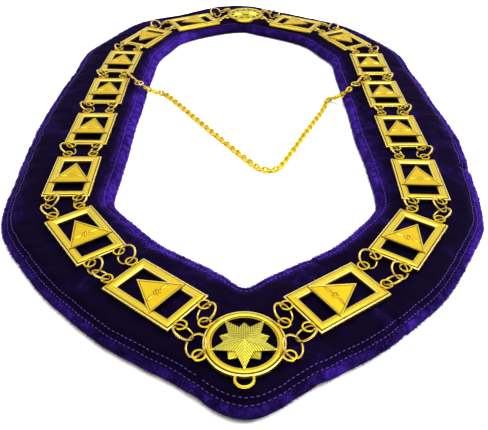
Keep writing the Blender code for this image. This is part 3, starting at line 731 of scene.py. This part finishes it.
def frame_part(half_width, half_length):
    """Mitred moulding round a rectangle with slightly rounded outer corners."""
    rows = []
    for turn in range(4):
        for k in range(4):
            angle = math.radians(90.0 * turn + 30.0 * k)
            sign_x = 1.0 if turn in (0, 3) else -1.0
            sign_y = 1.0 if turn in (0, 1) else -1.0
            row = []
            for inset, height, _ in FRAME_PROFILE:
                round_by = max(CORNER_RADIUS - inset * MM, 0.02 * MM)
                x = sign_x * (half_width - inset * MM - round_by) + round_by * math.cos(angle)
                y = sign_y * (half_length - inset * MM - round_by) + round_by * math.sin(angle)
                row.append((x, y, height * MM))
            rows.append(row)
    return grid_part(rows, painted_shading=[[depth for *_, depth in FRAME_PROFILE]] * len(rows))


def round_steps(count, start=0.0):
    """Cosine and sine of even steps once round a circle."""
    turns = [math.tau * (k + start) / count for k in range(count)]
    return [(math.cos(turn), math.sin(turn)) for turn in turns]


def eye_part(centre):
    """Flat cast ring with softened edges."""
    middle = (EYE_OUTER + EYE_HOLE) / 2.0
    half = (EYE_OUTER - EYE_HOLE) / 2.0
    section = []
    for cos, sin in round_steps(12, 0.5):
        push = 1.0 / max(abs(cos), abs(sin)) ** 0.72
        section.append((half * max(-1.0, min(1.0, push * cos)),
                        EYE_THICK / 2.0 * max(-1.0, min(1.0, push * sin))))
    rows = []
    for cos, sin in round_steps(24):
        rows.append([(centre[0] + (middle + r) * cos, centre[1] + (middle + r) * sin, centre[2] + z)
                     for r, z in section])
    return grid_part(rows)


def triangle_part():
    """Raised triangle: a wall, a narrow rim and a sunk field, as rings about its middle. The wall's foot and
    the field's edge get painted shade, the rim painted highlight.
    """
    corners = np.array(((-TRIANGLE_HALF_BASE, TRIANGLE_BASE_Y), (TRIANGLE_HALF_BASE, TRIANGLE_BASE_Y),
                        (0.0, TRIANGLE_APEX_Y)))
    lengths = np.array([np.linalg.norm(corners[(i + 1) % 3] - corners[(i + 2) % 3]) for i in range(3)])
    middle = (corners * lengths[:, None]).sum(axis=0) / lengths.sum()
    inradius = middle[1] - TRIANGLE_BASE_Y
    levels = (
        (0.0, TRIANGLE_UNDER, 1.0),
        (0.0, TRIANGLE_TOP - 0.40 * MM, 0.9),
        (0.05 * MM, TRIANGLE_TOP - 0.12 * MM, 0.1),
        (0.16 * MM, TRIANGLE_TOP, -0.6),
        (0.40 * MM, TRIANGLE_TOP, -0.4),
        (0.54 * MM, TRIANGLE_TOP - 0.10 * MM, 0.2),
        (0.64 * MM, FIELD_TOP, 0.9),
    )

    def ring(share, height):
        return [(*(middle + (corner - middle) * share), height) for corner in corners]

    rims = [ring(1.0 - inset / inradius, height) for inset, height, _ in levels]
    wall = grid_part(np.array(rims).transpose(1, 0, 2), wrap_columns=False,
                     painted_shading=[[depth for *_, depth in levels]] * 3)
    share = 1.0 - levels[-1][0] / inradius
    field = [ring(scale, FIELD_TOP) for scale in (share, share * 0.9, 0.02)]
    # Painted shade along the field's edge.
    face = grid_part(field, wrap_rows=False, caps=(-1,), painted_shading=[[0.9] * 3, [0.0] * 3, [0.0] * 3], look=1)
    foot = [ring(scale, TRIANGLE_UNDER) for scale in (1.0, 0.02)]
    return [wall, face, grid_part(foot, wrap_rows=False, caps=(-1,), look=1)], middle


def rosette_part(middle):
    """Six-petalled boss with a round eye in its middle."""
    rows = []
    depths = []
    for r in (1.0, 0.93, 0.8, 0.62, 0.45, 0.36, 0.30, 0.24, 0.12, 0.01):
        row = []
        for k in range(ROSETTE_STEPS):
            angle = math.tau * k / ROSETTE_STEPS
            petal = abs(math.cos(3.0 * angle))
            reach = ROSETTE_RADIUS * r * (0.72 + 0.28 * petal ** 0.6 if r > 0.4 else 0.9)
            petal_rise = math.sqrt(max(0.0, 1.0 - r ** 4)) * (0.35 + 0.65 * petal)
            eye_rise = 0.75 + 0.35 * math.cos(r / 0.33 * math.pi / 2.0)
            height = FIELD_TOP - (0.15 * MM if r == 1.0 else 0.0)
            height += ROSETTE_RISE * (petal_rise if r > 0.33 else eye_rise)
            row.append((middle[0] + reach * math.cos(angle), middle[1] + reach * math.sin(angle), height))
        rows.append(row)
        # Painted shade at the boss's foot and round its eye.
        depths.append([0.9 if r in (1.0, 0.45, 0.36) else 0.0] * ROSETTE_STEPS)
    return grid_part(rows, wrap_rows=False, caps=BOTH_ENDS, painted_shading=depths)


def leaf_part(middle, side):
    """Pointed leaf with a midrib and side veins, beside the boss."""
    rows = []
    depths = []
    for i in range(21):
        t = i / 20.0
        half = LEAF_WIDTH / 2.0 * math.sin(math.pi * min(1.0, t * 0.92 + 0.08)) ** 0.8 + 0.03 * MM
        bend = -0.9 * MM * math.sin(math.pi * t * 0.5) ** 2 * 0.5
        row = []
        depth = []
        for k in range(9):
            v = k / 4.0 - 1.0
            vein = 0.5 + 0.5 * math.cos(math.tau * (t * 5.0 - abs(v) * 0.9))
            rise = LEAF_RISE * (1.0 - abs(v) ** 2.5) * (0.55 + 0.3 * vein)
            rise += LEAF_RISE * 0.5 * math.exp(-(v / 0.16) ** 2)
            edge = -0.12 * MM if abs(v) == 1.0 or i in (0, 20) else 0.0
            x = middle[0] + side * (ROSETTE_RADIUS * 1.08 + LEAF_LENGTH * t)
            row.append((x, middle[1] + half * v + bend, FIELD_TOP + rise + edge))
            # Painted shade at the leaf's edges and between its veins.
            depth.append(0.8 if abs(v) == 1.0 else 0.35 * (1.0 - vein))
        row.append((row[0][0], middle[1] + bend, FIELD_TOP - 0.2 * MM))
        depth.append(0.8)
        rows.append(row)
        depths.append(depth)
    return grid_part(rows, wrap_rows=False, caps=BOTH_ENDS, painted_shading=depths)


def low_ring(node):
    """Corners of a metal part's flat underside, in the plan, its height, and all the part's points."""
    points = np.array([v.co for v in node.data.vertices])
    low = points[:, 2].min()
    return np.unique(np.round(points[points[:, 2] < low + NEAR][:, :2], 6), axis=0), low, points


def plate_place(node):
    """Middle of a plate's underside and the way its triangle points, from its solid."""
    corners, low, points = low_ring(node)
    middle = corners.mean(axis=0)
    far = corners[np.argsort(-np.linalg.norm(corners - middle, axis=1))[:4]]
    sides = sorted((far[1:] - far[0]).tolist(), key=lambda side: math.hypot(*side))
    facing = np.array(sides[1]) / math.hypot(*sides[1])
    raised = points[points[:, 2] > low + TRIANGLE_TOP - NEAR][:, :2] - middle
    reach = raised @ facing
    facing *= math.copysign(1.0, reach[np.argmax(np.abs(reach))])
    return Vector((*middle, low)), Vector((*facing, 0.0))


def put_at(middle, right, ahead):
    """Place of a flat part, with its X and Y axes turned to two level directions."""
    turn = Matrix((right, ahead, (0.0, 0.0, 1.0))).transposed()
    return Matrix.Translation(middle) @ turn.to_4x4()


triangle_parts, boss_middle = triangle_part()
plate_parts = [frame_part(PLATE_WIDTH / 2.0, PLATE_LENGTH / 2.0), *triangle_parts, rosette_part(boss_middle)]
plate_parts += [leaf_part(boss_middle, side) for side in (-1.0, 1.0)]
eye_out = PLATE_LENGTH / 2.0 + EYE_REACH
plate_eyes = [Vector((side * EYE_SPREAD, end * eye_out, EYE_HEIGHT)) for end in (-1, 1) for side in (-1, 1)]
plate_parts += [eye_part(at) for at in plate_eyes]

eyes = {}
plate_ends = {}
for hand, word in ((-1, "left"), (1, "right")):
    for number in range(1, 9):
        middle, facing = plate_place(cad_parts[f"plate_{word}_{number}"])
        put = put_at(middle, Vector((facing.y, -facing.x, 0.0)), facing)
        plate = formed(f"link_plate_{word}_{number}", plate_parts, put)
        shown(f"link_plate_{word}_{number}", plate, [polished_gold, sanded_gold], [f"plate_{word}_{number}"])
        along = -facing if number in REVERSED_PLATES else facing
        outward = Vector((hand * along.y, -hand * along.x, 0.0))
        plate_ends[word, number] = middle + along * PLATE_LENGTH / 2.0
        for at in plate_eyes:
            turned = put.to_3x3() @ at
            eyes[word, number, turned.dot(along) > 0.0, turned.dot(outward) > 0.0] = (put @ at, outward)


# Front medallion. A turned ring of gold plate with a moulded band and a beaded line, a satin star of five
# long ribbed rays over five short ones, four cast eyes, and a soldered half loop where a jewel can hang.
FRONT_RADIUS = 16.0 * MM
MEDALLION_BAND = 3.5 * MM
MEDALLION_EYE_REACH = 2.15 * MM
RING_SEGMENTS = 96
FRONT_INNER_EYE = math.radians(31.0)
FRONT_OUTER_EYE = math.radians(22.0)
PENDANT_LOOP_RADIUS = 3.45 * MM
PENDANT_LOOP_WIRE = 0.65 * MM
PENDANT_LOOP_HEIGHT = 1.3 * MM
# Same columns as the frame: inset, height, then painted shade, with painted highlight below zero.
BAND_PROFILE = (
    (0.0, 0.0, 1.0), (0.0, 1.25, 0.6), (0.0, 1.75, 0.0),
    (0.08, 2.00, -0.6), (0.34, 2.14, -0.9), (0.72, 2.10, -0.7),
    (0.80, 1.92, 1.0), (0.96, 1.76, 1.0), (1.12, 1.92, 1.0),
    (1.16, 2.28, 0.2), (1.42, 2.50, 0.0), (2.00, 2.58, 0.0), (2.58, 2.48, 0.0),
    (2.82, 2.38, 0.0), (2.90, 2.10, 1.0), (3.10, 2.10, 0.5),
    (3.34, 2.12, -0.8), (3.50, 1.98, -0.6), (3.50, 0.0, 1.0),
)
BEAD_RADIUS = 0.20 * MM
BEAD_PITCH = 0.55 * MM
BEAD_INSET = 3.30 * MM
BEAD_HEIGHT = 2.12 * MM
# Stars: how many rays, their tips and the dips between them as shares of the window, ribs on a facet, and
# the heights in millimetres of the middle, the tips, the dips and the flat underside.
LONG_RAYS = (5, 1.065, 0.47, 9, (3.5, 2.4, 2.6, 1.75))
SHORT_RAYS = (5, 0.81, 0.55, 5, (2.75, 2.0, 1.8, 1.0))
BACK_RAYS = (12, 1.05, 0.74, 6, (3.0, 2.2, 2.2, 1.6))
TO_FRONT = -math.pi / 2.0
# Ribs: painted shade in the troughs and painted highlight on the crests.
RIB_DEPTH = 0.30 * MM
RIB_SHADE = 1.6
RIB_SHINE = 0.7
RIB_STEPS = 4
RIB_SPANS = 8


def turned_ring_part(radius):
    """Round moulding: the band's profile turned about the Z axis."""
    rows = []
    for cos, sin in round_steps(RING_SEGMENTS):
        rows.append([((radius - inset * MM) * cos, (radius - inset * MM) * sin, height * MM)
                     for inset, height, _ in BAND_PROFILE])
    return grid_part(rows, painted_shading=[[depth for *_, depth in BAND_PROFILE]] * RING_SEGMENTS)


def facet_points(middle, first, second, ribs):
    """Ribbed triangle from the middle: its ribs run along the line from the middle to the second corner."""
    middle, first, second = np.array(middle), np.array(first), np.array(second)
    steps = ribs * RIB_STEPS
    rows = []
    depths = []
    for i in range(steps + 1):
        a = i / steps
        wave = 0.5 - 0.5 * math.cos(math.tau * a * ribs)
        fade = min(1.0, (1.0 - a) * 7.0)
        drop = np.array((0.0, 0.0, RIB_DEPTH * wave * fade))
        ridge = middle + (first - middle) * a - drop
        rows.append([ridge + (second - middle) * (1.0 - a) * k / RIB_SPANS for k in range(RIB_SPANS + 1)])
        # Painted shade in each trough, painted highlight on each crest.
        depths.append([(RIB_SHADE * wave - RIB_SHINE) * fade] * (RIB_SPANS + 1))
    return rows, depths


def star_parts(window, rays, start, along_axis=False):
    """Closed star of ridged rays. Its ribs run from the ridge like a herringbone, or along the axis."""
    count, tip_share, dip_share, ribs, heights = rays
    tip_radius, dip_radius = window * tip_share, window * dip_share
    top, tip_height, dip_height, under = (height * MM for height in heights)
    parts = []
    for i in range(count):
        turn = start + math.tau * i / count
        tip = (tip_radius * math.cos(turn), tip_radius * math.sin(turn), tip_height)
        for side in (-1.0, 1.0):
            edge = turn + side * math.pi / count
            dip = (dip_radius * math.cos(edge), dip_radius * math.sin(edge), dip_height)
            corners = (dip, tip) if along_axis else (tip, dip)
            rows, depths = facet_points((0.0, 0.0, top), *corners, ribs)
            parts.append(grid_part(rows, False, False, painted_shading=depths, look=1))
            wall = [[row[-1], (*row[-1][:2], under), (0.0, 0.0, under)] for row in rows]
            # Painted shade toward the foot of each wall.
            parts.append(grid_part(wall, False, False, painted_shading=[[0.0, 1.0, 1.0]] * len(wall)))
    return parts


def wire_part(centre, along, across, radius, wire, segments, sides=10, start=0.0, sweep=math.tau):
    """Round wire bent in the plane of along and across: a whole ring, or an arc with rounded ends."""
    normal = along.cross(across)
    whole = sweep >= math.tau
    rows = []
    if whole:
        stops = [(start + sweep * i / segments, 1.0, 0.0) for i in range(segments)]
    else:
        stops = [(start, 0.35, -0.7), (start, 0.8, -0.4)]
        stops += [(start + sweep * i / segments, 1.0, 0.0) for i in range(segments + 1)]
        stops += [(start + sweep, 0.8, 0.4), (start + sweep, 0.35, 0.7)]
    for turn, share, past in stops:
        spoke = along * math.cos(turn) + across * math.sin(turn)
        ahead = across * math.cos(turn) - along * math.sin(turn)
        rows.append([tuple(centre + ahead * wire * past + spoke * (radius + share * wire * cos)
                           + normal * (share * wire * sin)) for cos, sin in round_steps(sides)])
    return grid_part(rows, wrap_rows=whole, caps=() if whole else BOTH_ENDS)


def bead_tree(material):
    """Geometry Nodes: small round beads at an even pitch along each curve of the object."""
    tree, given = geometry_group("bead_line", "Bead radius", "Pitch")
    bead = wired(tree, "GeometryNodeMeshIcoSphere", {"Radius": given["Bead radius"], "Subdivisions": 1})
    return placed(tree, material, {
        "Points": spaced_along(tree, given["Geometry"], given["Pitch"]), "Instance": bead.outputs["Mesh"]})


beads = bead_tree(polished_gold)


def medallion_eyes(radius, front_angle, back_angle):
    reach = radius + MEDALLION_EYE_REACH
    return {
        (hand, side): Vector((hand * reach * math.cos(angle), side * reach * math.sin(angle), EYE_HEIGHT))
        for hand in (-1, 1) for side, angle in ((-1, front_angle), (1, back_angle))
    }


def medallion_shown(word, radius, parts, eye_middles, place):
    """Forms a medallion from its ring, its star and its eyes, and lays beads on the seat inside its band."""
    name = f"{word}_medallion_star"
    parts = [turned_ring_part(radius), *parts, *(eye_part(at) for at in eye_middles.values())]
    shown(name, formed(name, parts, place), [polished_gold, satin_gold], [f"{word}_medallion"])
    reach = radius - BEAD_INSET
    line = [place.translation + Vector((reach * cos, reach * sin, BEAD_HEIGHT))
            for cos, sin in round_steps(RING_SEGMENTS)]
    beads_mesh = grown(curve_through(f"{word}_beads", [line], True), beads, {
        "Bead radius": BEAD_RADIUS, "Pitch": BEAD_PITCH})
    shown(f"{word}_medallion_beads", beads_mesh, [polished_gold])


front_ring, front_low, _ = low_ring(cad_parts["front_medallion"])
front_middle = Vector((*front_ring.mean(axis=0), front_low))
front_inner = FRONT_RADIUS - MEDALLION_BAND
front_parts = star_parts(front_inner, LONG_RAYS, TO_FRONT)
front_parts += star_parts(front_inner, SHORT_RAYS, -TO_FRONT, along_axis=True)
loop_middle = Vector((0.0, -FRONT_RADIUS - PENDANT_LOOP_WIRE, PENDANT_LOOP_HEIGHT))
front_parts.append(wire_part(
    loop_middle, Vector((1.0, 0.0, 0.0)), Vector((0.0, 1.0, 0.0)), PENDANT_LOOP_RADIUS, PENDANT_LOOP_WIRE,
    segments=28, sides=12, start=math.radians(-205.0), sweep=math.radians(230.0)))
front_eyes = medallion_eyes(FRONT_RADIUS, FRONT_OUTER_EYE, FRONT_INNER_EYE)
front_place = Matrix.Translation(front_middle)
medallion_shown("front", FRONT_RADIUS, front_parts, front_eyes, front_place)


# Back medallion. The same ring a little smaller, turned to lie between the last two plates, with a flower of
# twelve short ridged rays and a domed boss in its window.
BACK_RADIUS = 15.4 * MM
BACK_INNER_EYE = math.radians(31.0)
BACK_OUTER_EYE = math.radians(24.0)
DOME_RADIUS = 3.4 * MM
DOME_FOOT = PLATE_THICK + 0.35 * MM
DOME_RISE = 0.9 * MM

back_ring, back_low, _ = low_ring(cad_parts["back_medallion"])
back_middle = Vector((*back_ring.mean(axis=0), back_low))
back_across = (plate_ends["right", 8] - plate_ends["left", 8]).normalized()
back_up = Vector((-back_across.y, back_across.x, 0.0))
back_place = put_at(back_middle, back_across, back_up)
back_inner = BACK_RADIUS - MEDALLION_BAND
back_parts = star_parts(back_inner, BACK_RAYS, TO_FRONT)
dome = []
for share in (1.0, 0.96, 0.86, 0.7, 0.5, 0.28, 0.02):
    height = DOME_FOOT + DOME_RISE * math.sqrt(1.0 - share ** 2) - (0.5 * MM if share == 1.0 else 0.0)
    reach = DOME_RADIUS * share
    dome.append([(reach * cos, reach * sin, height) for cos, sin in round_steps(32)])
# Painted shade round the dome's foot.
back_parts.append(grid_part(dome, wrap_rows=False, caps=BOTH_ENDS, painted_shading=[[0.9] * 32] + [[0.0] * 32] * 6))
back_eyes = medallion_eyes(BACK_RADIUS, BACK_INNER_EYE, BACK_OUTER_EYE)
medallion_shown("back", BACK_RADIUS, back_parts, back_eyes, back_place)


# Jump rings. Rings of round gilt wire through the cast eyes, an inner and an outer one at each gap, lifted at
# their free side. Where the outer eyes lie far apart the joint is two linked rings.
RING_RADIUS = 4.5 * MM
RING_WIRE = 0.5 * MM
WIRE_GOLD = (0.93, 0.68, 0.15, 1.0)
RING_ROLL = math.radians(35.0)
RING_SLIDE = 0.5 * MM
RING_REACH = 0.8 * MM
RING_CHORD = 0.975
PAIR_BITE = 0.6 * MM

wire_gold = gilt("gilt_ring_wire", WIRE_GOLD, 0.15, 0.3 * MM, 0.10)
for hand, word in ((-1, "left"), (1, "right")):
    for side in (-1, 1):
        eyes[word, 0, True, side < 0] = (front_place @ front_eyes[hand, side], eyes[word, 1, False, True][1])
        eyes[word, 9, False, side > 0] = (back_place @ back_eyes[hand, side], eyes[word, 8, True, True][1])


def ring_pose(a, b, free, rings):
    """Radius, run, raised direction, offsets of the ring middles along the run and to the raised side."""
    apart = (b - a).length
    along = (b - a) / apart
    level = (free - along * free.dot(along)).normalized()
    wanted = (apart + 2.0 * RING_SLIDE + (PAIR_BITE if rings == 2 else 0.0)) / rings
    radius = min(RING_RADIUS, wanted / (2.0 * RING_CHORD))
    chord = 2.0 * RING_CHORD * radius
    slide = (rings * chord - (PAIR_BITE if rings == 2 else 0.0) - apart) / 2.0
    return radius, along, level, chord / 2.0 - slide, radius * math.sqrt(1.0 - RING_CHORD ** 2)


def rolled(level, roll):
    return level * math.cos(roll) + Vector((0.0, 0.0, math.sin(roll)))


ring_ends = {}
for word in ("left", "right"):
    for number in range(9):
        for outer_side, edge, way in ((False, "inner", -1.0), (True, "outer", 1.0)):
            a, out_a = eyes[word, number, True, outer_side]
            b, out_b = eyes[word, number + 1, False, outer_side]
            free = (out_a + out_b) * (-1.0 if number == 0 else way)
            ring_ends[word, number, edge] = (a, b, free)
            rings = 1 if (b - a).length <= 2.0 * (RING_CHORD * RING_RADIUS + RING_REACH) else 2
            radius, along, level, offset, drop = ring_pose(a, b, free, rings)
            bends = []
            for start, run, lift in ((a, along, level), (b, -along, -level))[:rings]:
                across = rolled(lift, RING_ROLL)
                middle = start + run * offset + across * drop
                bends.append(wire_part(middle, run, across, radius, RING_WIRE, segments=36))
            name = f"jump_ring_wire_{word}_{number}_{edge}"
            shown(name, formed(name, bends), [wire_gold], [f"jump_ring_{word}_{number}_{edge}"])


# Clasps of the cross chain. On each side a long flat link with a solid middle hooks on the inner jump ring
# between plates 5 and 6, stands on its edge, and carries a small round end ring for the chain.
CLASP_HEAD = 2.3 * MM
CLASP_TAIL = 1.5 * MM
CLASP_WIRE = 0.6 * MM
CLASP_TILT = math.radians(62.0)
CLASP_SLIP = math.radians(32.0)
# Each clasp: its side, its heading in degrees, its length in millimetres and the way that it leans.
CLASP_ROWS = (
    ("left", -56.0, 15.5, -1.0),
    ("right", -118.0, 11.5, 1.0),
)
# Sections of the solid body: share of the way from head to tail, half width and thickness as shares.
CLASP_BODY = (
    (0.33, 0.2, 0.3), (0.345, 0.75, 0.9), (0.38, 0.92, 1.4), (0.45, 0.93, 1.55),
    (0.58, 0.86, 1.5), (0.64, 0.80, 1.3), (0.675, 0.62, 0.8), (0.69, 0.2, 0.3),
)
END_RING_RADIUS = 2.7 * MM
END_RING_WIRE = 0.45 * MM


def clasp_parts(head, along, across, length):
    """Loop of wire, round at head and tail, with a smooth solid body between its two runs."""
    tail = head + along * length - Vector((0.0, 0.0, (CLASP_HEAD - CLASP_TAIL) * math.sin(CLASP_TILT)))
    normal = along.cross(across)
    rows = []
    for centre, radius, start in ((head, CLASP_HEAD, math.pi / 2.0), (tail, CLASP_TAIL, -math.pi / 2.0)):
        for i in range(15):
            turn = start + math.pi * i / 14.0
            spoke = along * math.cos(turn) + across * math.sin(turn)
            rows.append([tuple(centre + spoke * (radius + CLASP_WIRE * cos) + normal * CLASP_WIRE * sin)
                         for cos, sin in round_steps(12)])
    body = []
    for share, half, thick in CLASP_BODY:
        at = head.lerp(tail, share)
        reach = CLASP_HEAD + (CLASP_TAIL - CLASP_HEAD) * share
        row = []
        for cos, sin in round_steps(20):
            flat = max(abs(cos), abs(sin)) ** -0.5
            wide, deep = reach * half * flat * cos, CLASP_WIRE * thick * flat * sin
            row.append(tuple(at + across * wide + normal * deep))
        body.append(row)
    return [grid_part(rows), grid_part(body, wrap_rows=False, caps=BOTH_ENDS)], tail


for word, heading, length, leaning in CLASP_ROWS:
    a, b, free = ring_ends[word, 5, "inner"]
    radius, along, level, offset, drop = ring_pose(a, b, free, 1)
    raised = rolled(level, RING_ROLL)
    spoke = raised * math.cos(CLASP_SLIP) - along * math.sin(CLASP_SLIP)
    head = a + along * offset + raised * drop + spoke * radius
    turn = math.radians(heading)
    way = Vector((math.cos(turn), math.sin(turn), 0.0))
    flat = Vector((-way.y, way.x, 0.0))
    across = flat * leaning * math.cos(CLASP_TILT) + Vector((0.0, 0.0, math.sin(CLASP_TILT)))
    parts, tail = clasp_parts(head, way, across, length * MM)
    shown(f"clasp_link_{word}", formed(f"clasp_link_{word}", parts), [wire_gold], [f"clasp_{word}"])
    centre = tail + way * (END_RING_RADIUS - CLASP_WIRE * 0.4)
    ring = wire_part(centre, way, flat, END_RING_RADIUS, END_RING_WIRE, segments=32)
    shown(f"end_ring_{word}", formed(f"end_ring_{word}", [ring]), [wire_gold], [f"chain_ring_{word}"])


# Cross chain. A fine cable chain of oval links of gilt wire, each turned a quarter from the one before, that
# hangs from the end rings over the velvet's edge and lies across the neck opening.
LINK_PITCH = 3.0 * MM
LINK_LENGTH = 5.6 * MM
LINK_WIDTH = 4.0 * MM
LINK_WIRE = 0.68 * MM
LINK_WOBBLE = 0.22
LINK_SEED = 5
CHAIN_GOLD = (0.78, 0.56, 0.025, 1.0)
ROUTE_MIDDLE = 188.1 * MM
CHAIN_ROUTE = (
    (-67.2, 35.6, 9.6),
    (-63.4, 37.4, 6.3),
    (-60.4, 42.2, 2.9),
    (-57.0, 44.2, 1.75),
    (-52.6, 39.0, 1.7),
    (-24.6, -4.3, 1.7),
    (5.2, -48.6, 1.7),
    (8.9, -52.4, 1.7),
    (13.6, -53.8, 1.7),
    (18.6, -52.2, 1.7),
    (22.9, -44.6, 1.7),
    (37.2, -11.9, 1.7),
    (52.9, 24.2, 1.7),
    (54.7, 31.8, 1.75),
    (57.8, 35.4, 2.0),
    (61.2, 32.6, 4.6),
    (65.4, 29.2, 8.6),
    (69.4, 31.8, 10.6),
)


def smooth_route(points, steps):
    """Smooth curve through points that are unevenly spaced."""
    padded = [points[0] * 2.0 - points[1], *points, points[-1] * 2.0 - points[-2]]
    out = []
    for p0, p1, p2, p3 in zip(padded, padded[1:], padded[2:], padded[3:]):
        k0, k1, k2 = ((after - before).length ** 0.5 for before, after in ((p0, p1), (p1, p2), (p2, p3)))
        leave = ((p1 - p0) / k0 - (p2 - p0) / (k0 + k1) + (p2 - p1) / k1) * k1
        arrive = ((p2 - p1) / k1 - (p3 - p1) / (k1 + k2) + (p3 - p2) / k2) * k1
        for i in range(steps):
            t = i / steps
            out.append(p1 * (2.0 * t ** 3 - 3.0 * t ** 2 + 1.0) + leave * (t ** 3 - 2.0 * t ** 2 + t)
                       + p2 * (3.0 * t ** 2 - 2.0 * t ** 3) + arrive * (t ** 3 - t ** 2))
    out.append(points[-1])
    return out


def cable_tree(material):
    """Geometry Nodes: oval wire links along each curve, every second one turned a quarter about the curve."""
    tree, given = geometry_group("cable_chain", "Pitch", "Link length", "Link width", "Wire")
    bend = times(tree, sums(tree, "SUBTRACT", given["Link width"], given["Wire"]), 0.5)
    half = times(tree, sums(tree, "SUBTRACT", given["Link length"], given["Link width"]), 0.5)
    place = wired(tree, "GeometryNodeInputPosition").outputs[0]
    place = wired(tree, "ShaderNodeSeparateXYZ", {0: place}).outputs["X"]
    push = times(tree, sums(tree, "DIVIDE", place, bend), half)
    oval = wired(tree, "GeometryNodeSetPosition", {
        "Geometry": circle_of(tree, 16, bend), "Offset": along_x(tree, push)}).outputs["Geometry"]
    section = circle_of(tree, 7, times(tree, given["Wire"], 0.5))
    link = wired(tree, "GeometryNodeCurveToMesh", {"Curve": oval, "Profile Curve": section}).outputs["Mesh"]
    odd = sums(tree, "MODULO", wired(tree, "GeometryNodeInputIndex").outputs[0], 2.0)
    quarter = times(tree, sums(tree, "SUBTRACT", odd, 0.5), math.pi / 2.0)
    wobble = wired(tree, "FunctionNodeRandomValue", {
        2: -LINK_WOBBLE, 3: LINK_WOBBLE, "Seed": LINK_SEED}, data_type="FLOAT").outputs[1]
    roll = along_x(tree, plus(tree, quarter, wobble))
    return placed(tree, material, {
        "Points": spaced_along(tree, given["Geometry"], given["Pitch"]), "Instance": link,
        "Rotation": turned_by(tree, along_curve(tree), roll)})


chain_gold = gilt("chain_gold", CHAIN_GOLD, 0.20, 0.3 * MM, 0.10)
origin = Vector((front_middle.x, front_middle.y + ROUTE_MIDDLE, 0.0))
route = smooth_route([origin + Vector(at) * MM for at in CHAIN_ROUTE], 12)
chain_mesh = grown(curve_through("chain_route", [route], False), cable_tree(chain_gold), {
    "Pitch": LINK_PITCH, "Link length": LINK_LENGTH, "Link width": LINK_WIDTH, "Wire": 2.0 * LINK_WIRE})
shown("cross_chain_links", chain_mesh, [chain_gold], ["cross_chain"])


# Floor and light. A plain white table in a light tent that is brighter above and behind than toward the
# camera, with soft boxes over it and at both sides. Only a small one shows in the gold.
floor_mesh = bpy.data.meshes.new("white_table")
floor_corners = [(-6.0, -4.0, 0.0), (6.0, -4.0, 0.0), (6.0, 12.0, 0.0), (-6.0, 12.0, 0.0)]
floor_mesh.from_pydata(floor_corners, [], [(0, 1, 2, 3)])
floor = bpy.data.objects.new("white_table", floor_mesh)
bpy.context.collection.objects.link(floor)
white, tree, shader, place = started("white_table")
fed(tree, shader, {"Base Color": (0.92, 0.915, 0.90, 1.0), "Roughness": 0.9})
floor_mesh.materials.append(white)

world = bpy.data.worlds.new("light_tent")
world.use_nodes = True
sky = world.node_tree
# The tent is brighter from behind and from above, a little from the right, and brightest overhead.
around = wired(sky, "ShaderNodeTexCoord").outputs["Generated"]
toward = wired(sky, "ShaderNodeSeparateXYZ", {0: around}).outputs
behind = plus(sky, times(sky, toward["Y"], 0.40), times(sky, toward["Z"], 0.55))
behind = plus(sky, behind, times(sky, toward["X"], 0.10))
level = wired(sky, "ShaderNodeMapRange", {
    "Value": behind, "From Min": -0.35, "From Max": 0.60, "To Min": 0.12, "To Max": 1.02}).outputs["Result"]
low_sky = plus(sky, times(sky, spread(sky, toward["Z"], 0.15, 0.60), 0.13), 0.78)
level = times(sky, level, low_sky)
level = plus(sky, level, times(sky, spread(sky, toward["Z"], 0.78, 0.96), 0.8))
fed(sky, sky.nodes["Background"], {"Color": (1.0, 0.99, 0.965, 1.0), "Strength": level})
bpy.context.scene.world = world
bpy.context.scene.view_settings.view_transform = "Standard"


def soft_light(name, place, size, power, mirrored=False):
    """Square soft box that faces the collar. Only a mirrored one shows in the gold."""
    data = bpy.data.lights.new(name, "AREA")
    data.size = size
    data.energy = power
    data.color = (1.0, 0.985, 0.94)
    light = bpy.data.objects.new(name, data)
    bpy.context.collection.objects.link(light)
    aim = (-Vector(place)).to_track_quat("-Z", "Y")
    light.matrix_world = Matrix.Translation(place) @ aim.to_matrix().to_4x4()
    light.visible_glossy = mirrored


soft_light("top_light", (-0.1, 0.2, 1.2), 1.2, 24.0)
soft_light("right_light", (1.0, 0.15, 0.45), 0.6, 34.0)
soft_light("left_light", (-1.0, 0.3, 0.6), 0.7, 6.0)
soft_light("small_light", (0.25, 0.15, 1.0), 0.35, 1.6, True)
